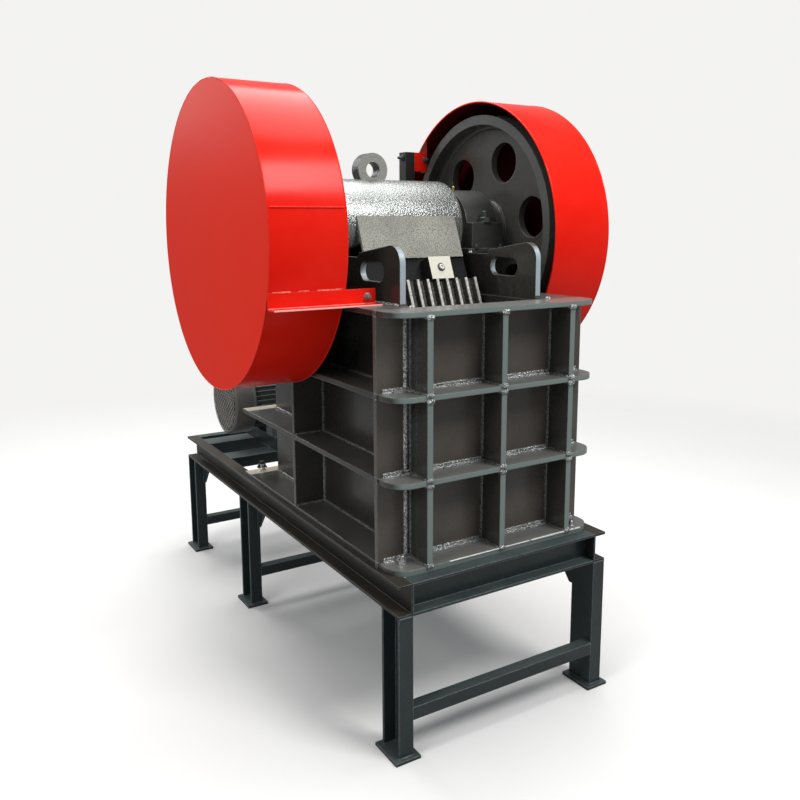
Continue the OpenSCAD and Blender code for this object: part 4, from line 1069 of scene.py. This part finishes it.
class CRUSHER_OT_stand(bpy.types.Operator):
    """Lays weld beads at the feet, heads and ends of the stand"""

    bl_idname = "crusher.stand"
    bl_label = "Stand welds"

    def execute(self, context):
        s = Shell()
        seed = 500
        low, high = STAND_LOW[2], STAND_HIGH[2]
        length, wide, foot = STAND_HIGH[1], CHANNEL_WIDE, FOOT_T
        for side in (-1, 1):
            xo = side * STAND_HIGH[0]
            xw = xo - side * CHANNEL_FLANGE
            for y in (0.0, span("legs_middle")[0][1] + 90, length - wide):
                for start, end, out, radius in (
                    ((xw, y, low), (xw, y + wide, low), (side, 0, -1), 3.0),
                    ((xw, y, low), (xo, y, low), (side, 0, -1), 3.0),
                    ((xw, y + wide, low), (xo, y + wide, low), (side, 0, -1), 3.0),
                    ((xw, y, foot), (xw, y + wide, foot), (side, 0, 1), 3.5),
                    ((xo - side * 3, y, foot), (xw, y, foot), (0, -1, 1), 3.5),
                    ((xo - side * 3, y + wide, foot), (xw, y + wide, foot), (0, 1, 1), 3.5),
                    *(((xw, y + 2, z), (xw, y + 40, z), (-side, 0, 0), 3.0) for z in TIE_Z),
                ):
                    s.bead(start, end, out, radius, seed)
                    seed += 1
            for y in (0.0, length):
                s.bead((xw, y, low + 6), (xw, y, high - 6), (0, -1 if y == 0 else 1, 0), 2.5, seed)
                seed += 1
        s.piece("stand_welds", "dark_stand_paint", "stand_paint")
        return {"FINISHED"}


class CRUSHER_OT_motor(bpy.types.Operator):
    """Adds fins, fan mesh, terminal box, feet bolts and belt grooves to the motor"""

    bl_idname = "crusher.motor"
    bl_label = "Motor details"

    def execute(self, context):
        x0 = FAN_HIGH[0]
        fins = Shell()
        start, stop = x0 + 20, x0 + 388
        section = [(-4, -2.6), (-4, 2.6), (15, 1.5), (15.6, 0), (15, -1.5)]
        count = context.scene.crusher_sizes.motor_fins
        for a in around(count, np.pi / count):
            if abs(np.degrees(a) - 270) < FIN_GAP_BELOW or abs(np.degrees(a) - 90) < FIN_GAP_ABOVE:
                continue
            d = np.array([0, np.cos(a), np.sin(a)])
            path = np.array([[x, MOTOR_Y, MOTOR_Z] for x in (start, start + 8, stop - 8, stop)]) + MOTOR_R * d
            fins.swept(section, path, d, [0.6, 1, 1, 0.6])
        shell_z, box_z, lid_z = (MOTOR_Z + MOTOR_R + rise for rise in (0, 28, 68))
        box_x0, box_x1 = start + 40, start + 40 + BOX_LONG
        fins.slab((box_x0, MOTOR_Y - BOX_HALF, shell_z), (box_x1, MOTOR_Y + BOX_HALF, box_z), 5)
        fins.slab((box_x0 + 6, MOTOR_Y - BOX_HALF + 6, box_z), (box_x1 - 6, MOTOR_Y + BOX_HALF - 6, lid_z), 8)
        fins.turned([(0, 0), (24, 0), (24, 14), (20, 20), (20, 34), (17, 38), (0, 38)],
                    (start + 128, MOTOR_Y + 66, lid_z - 20), BACK, 6)
        fins.piece("motor_fins", "motor_paint", "motor_paint")
        bolts = Shell()
        for k, b in enumerate(around(4, np.pi / 4)):
            bolts.bolt(on_ring(x0 + 445, MOTOR_Y, MOTOR_Z, MOTOR_END_BOLT_R, b), RIGHT, 10, b)
            lid_x, lid_y = start + (58 if k % 2 else 197), MOTOR_Y + (55 if k // 2 else -55)
            bolts.bolt((lid_x, lid_y, lid_z), UP, 6, b, washer=False)
        for x in MOTOR_FEET_X:
            for sy in (-1, 1):
                bolts.bolt((x, MOTOR_Y + sy * MOTOR_FEET_OUT, MOTOR_FEET_Z), UP, 14, 0.2, stud=10)
        bolts.piece("motor_bolts", "black_bolt")
        cover = Shell()
        xf, r = FAN_LOW[0], (FAN_HIGH[2] - FAN_LOW[2]) / 2
        depth = FAN_HIGH[0] - xf
        cover.turned([(r - 3, depth), (r, depth), (r, 12), (r - 2, 6), (r - 6, 2), (r - 10, 0), (r - 16, 0),
                      (r - 16, 3), (r - 10, 3), (r - 6, 6), (r - 4, 12), (r - 3, 20), (r - 3, depth)],
                     (xf, MOTOR_Y, MOTOR_Z), RIGHT, 96)
        wire = Shell()
        inner = r - 15
        cell_wide, cell_high = 26.0, 13.0
        rows = int(2 * inner / cell_high)
        for k in range(rows):
            z0 = (k - (rows - 1) / 2) * cell_high
            reach = int(np.sqrt(max(inner**2 - (abs(z0) + cell_high / 2) ** 2, 0)) / (cell_wide / 2))
            if reach < 1:
                continue
            i = np.arange(-reach, reach + 1)
            rise = np.where((i + k) % 2, 1, -1) * cell_high / 2
            strand = np.stack([xf + 1 + 0 * i, MOTOR_Y + i * cell_wide / 2, MOTOR_Z + z0 + rise], -1)
            wire.swept(rounded(6, 1.3), strand, RIGHT)
        wire.hem((xf + 2, MOTOR_Y, MOTOR_Z), RIGHT, inner, 2.0, 96)
        wire.piece("fan_mesh", "fan_wire_paint", "motor_paint", smooth=30)
        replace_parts(cover.piece("fan_shroud", "fan_shroud_paint", "motor_paint"), "fan_cover")
        fan = Shell()
        fan.turned([(0, 30), (FAN_HUB_R, 30), (FAN_HUB_R, 70), (0, 70)], (xf, MOTOR_Y, MOTOR_Z), RIGHT, 24)
        for b in around(7):
            path = [on_ring(xf + 48, MOTOR_Y, MOTOR_Z, radius, b) for radius in (FAN_HUB_R - 4, 80, FAN_BLADE_R)]
            fan.swept([(-20, -1.5), (20, -1.5), (20, 1.5), (-20, 1.5)], path, RIGHT)
        fan.turned([(0, 78), (136, 78), (136, 81), (0, 81)], (xf, MOTOR_Y, MOTOR_Z), RIGHT, 48)
        fan.piece("cooling_fan", "fan_dark", "motor_paint")
        pulley = Shell()
        r = (PULLEY_HIGH[2] - PULLEY_LOW[2]) / 2
        w = PULLEY_HIGH[0] - PULLEY_LOW[0]
        profile = [(21, 0), (r - 4, 0), (r, 3)]
        grooves = 4
        step = (w - 6) / grooves
        for k in range(grooves):
            c = 3 + step * (k + 0.5)
            profile += [(r, c - 8), (r - 15, c - 4), (r - 15, c + 4), (r, c + 8)]
        profile += [(r, w - 3), (r - 4, w), (70, w), (66, w - 14), (45, w - 14), (42, w), (21, w), (21, 0)]
        pulley.turned(profile, (PULLEY_LOW[0], MOTOR_Y, MOTOR_Z), RIGHT, 72)
        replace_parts(pulley.piece("belt_pulley", "cast_jaw_iron", "motor_paint"), "motor_pulley")
        return {"FINISHED"}


class CRUSHER_OT_toggle(bpy.types.Operator):
    """Winds the return spring and adds the adjusting screws of the toggle beam"""

    bl_idname = "crusher.toggle"
    bl_label = "Toggle end details"

    def execute(self, context):
        turns = context.scene.crusher_sizes.spring_turns
        y0, y1 = SPRING_LOW[1], SPRING_HIGH[1]
        wire_r = 6.0
        coil_r = (SPRING_HIGH[2] - SPRING_LOW[2]) / 2 - wire_r
        t = np.linspace(0, 1, int(turns * 28))
        a = 2 * np.pi * turns * t
        rise = np.clip((t * turns - 0.75) / (turns - 1.5), 0, 1)
        y = y0 + wire_r + rise * (y1 - y0 - 2 * wire_r)
        path = np.stack([coil_r * np.cos(a), y, ROD_Z + coil_r * np.sin(a)], -1)
        out = np.stack([np.cos(a), 0 * a, np.sin(a)], -1)
        s = Shell()
        s.swept(rounded(12, wire_r), path, out)
        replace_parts(s.piece("spring_coil", "bare_steel", smooth=60), "return_spring")
        screws = Shell()
        for x in (-SCREW_X, SCREW_X):
            for z in SCREW_Z:
                screws.bolt((x, WALL_HIGH[1], z), BACK, 22, 0.3, stud=26)
        screws.piece("adjusting_screws", "black_bolt")
        return {"FINISHED"}


STEPS = (CRUSHER_OT_finishes, CRUSHER_OT_stage, CRUSHER_OT_guards, CRUSHER_OT_rotor, CRUSHER_OT_bearings,
         CRUSHER_OT_jaw, CRUSHER_OT_body_welds, CRUSHER_OT_fastening, CRUSHER_OT_stand, CRUSHER_OT_motor,
         CRUSHER_OT_toggle)


class CRUSHER_PT_panel(bpy.types.Panel):
    """Lists the steps and the settings"""

    bl_label = "Crusher"
    bl_idname = "CRUSHER_PT_panel"
    bl_space_type = "VIEW_3D"
    bl_region_type = "UI"
    bl_category = "Crusher"

    def draw(self, context):
        for group in (context.scene.crusher_paint, context.scene.crusher_sizes):
            for name in group.bl_rna.properties.keys():
                if name not in ("rna_type", "name"):
                    self.layout.prop(group, name)
        for step in STEPS:
            self.layout.operator(step.bl_idname)


CLASSES = (CrusherPaint, CrusherSizes, *STEPS, CRUSHER_PT_panel)


def register():
    """Registers the classes and hangs the settings on the scene."""
    for c in CLASSES:
        bpy.utils.register_class(c)
    bpy.types.Scene.crusher_paint = PointerProperty(type=CrusherPaint)
    bpy.types.Scene.crusher_sizes = PointerProperty(type=CrusherSizes)


def unregister():
    """Takes the settings and the classes away again."""
    del bpy.types.Scene.crusher_sizes
    del bpy.types.Scene.crusher_paint
    for c in reversed(CLASSES):
        bpy.utils.unregister_class(c)


def main():
    """Runs every step in order."""
    register()
    for step in STEPS:
        name = step.bl_idname.split(".")[1]
        getattr(bpy.ops.crusher, name)()


if __name__ == "__main__":
    main()
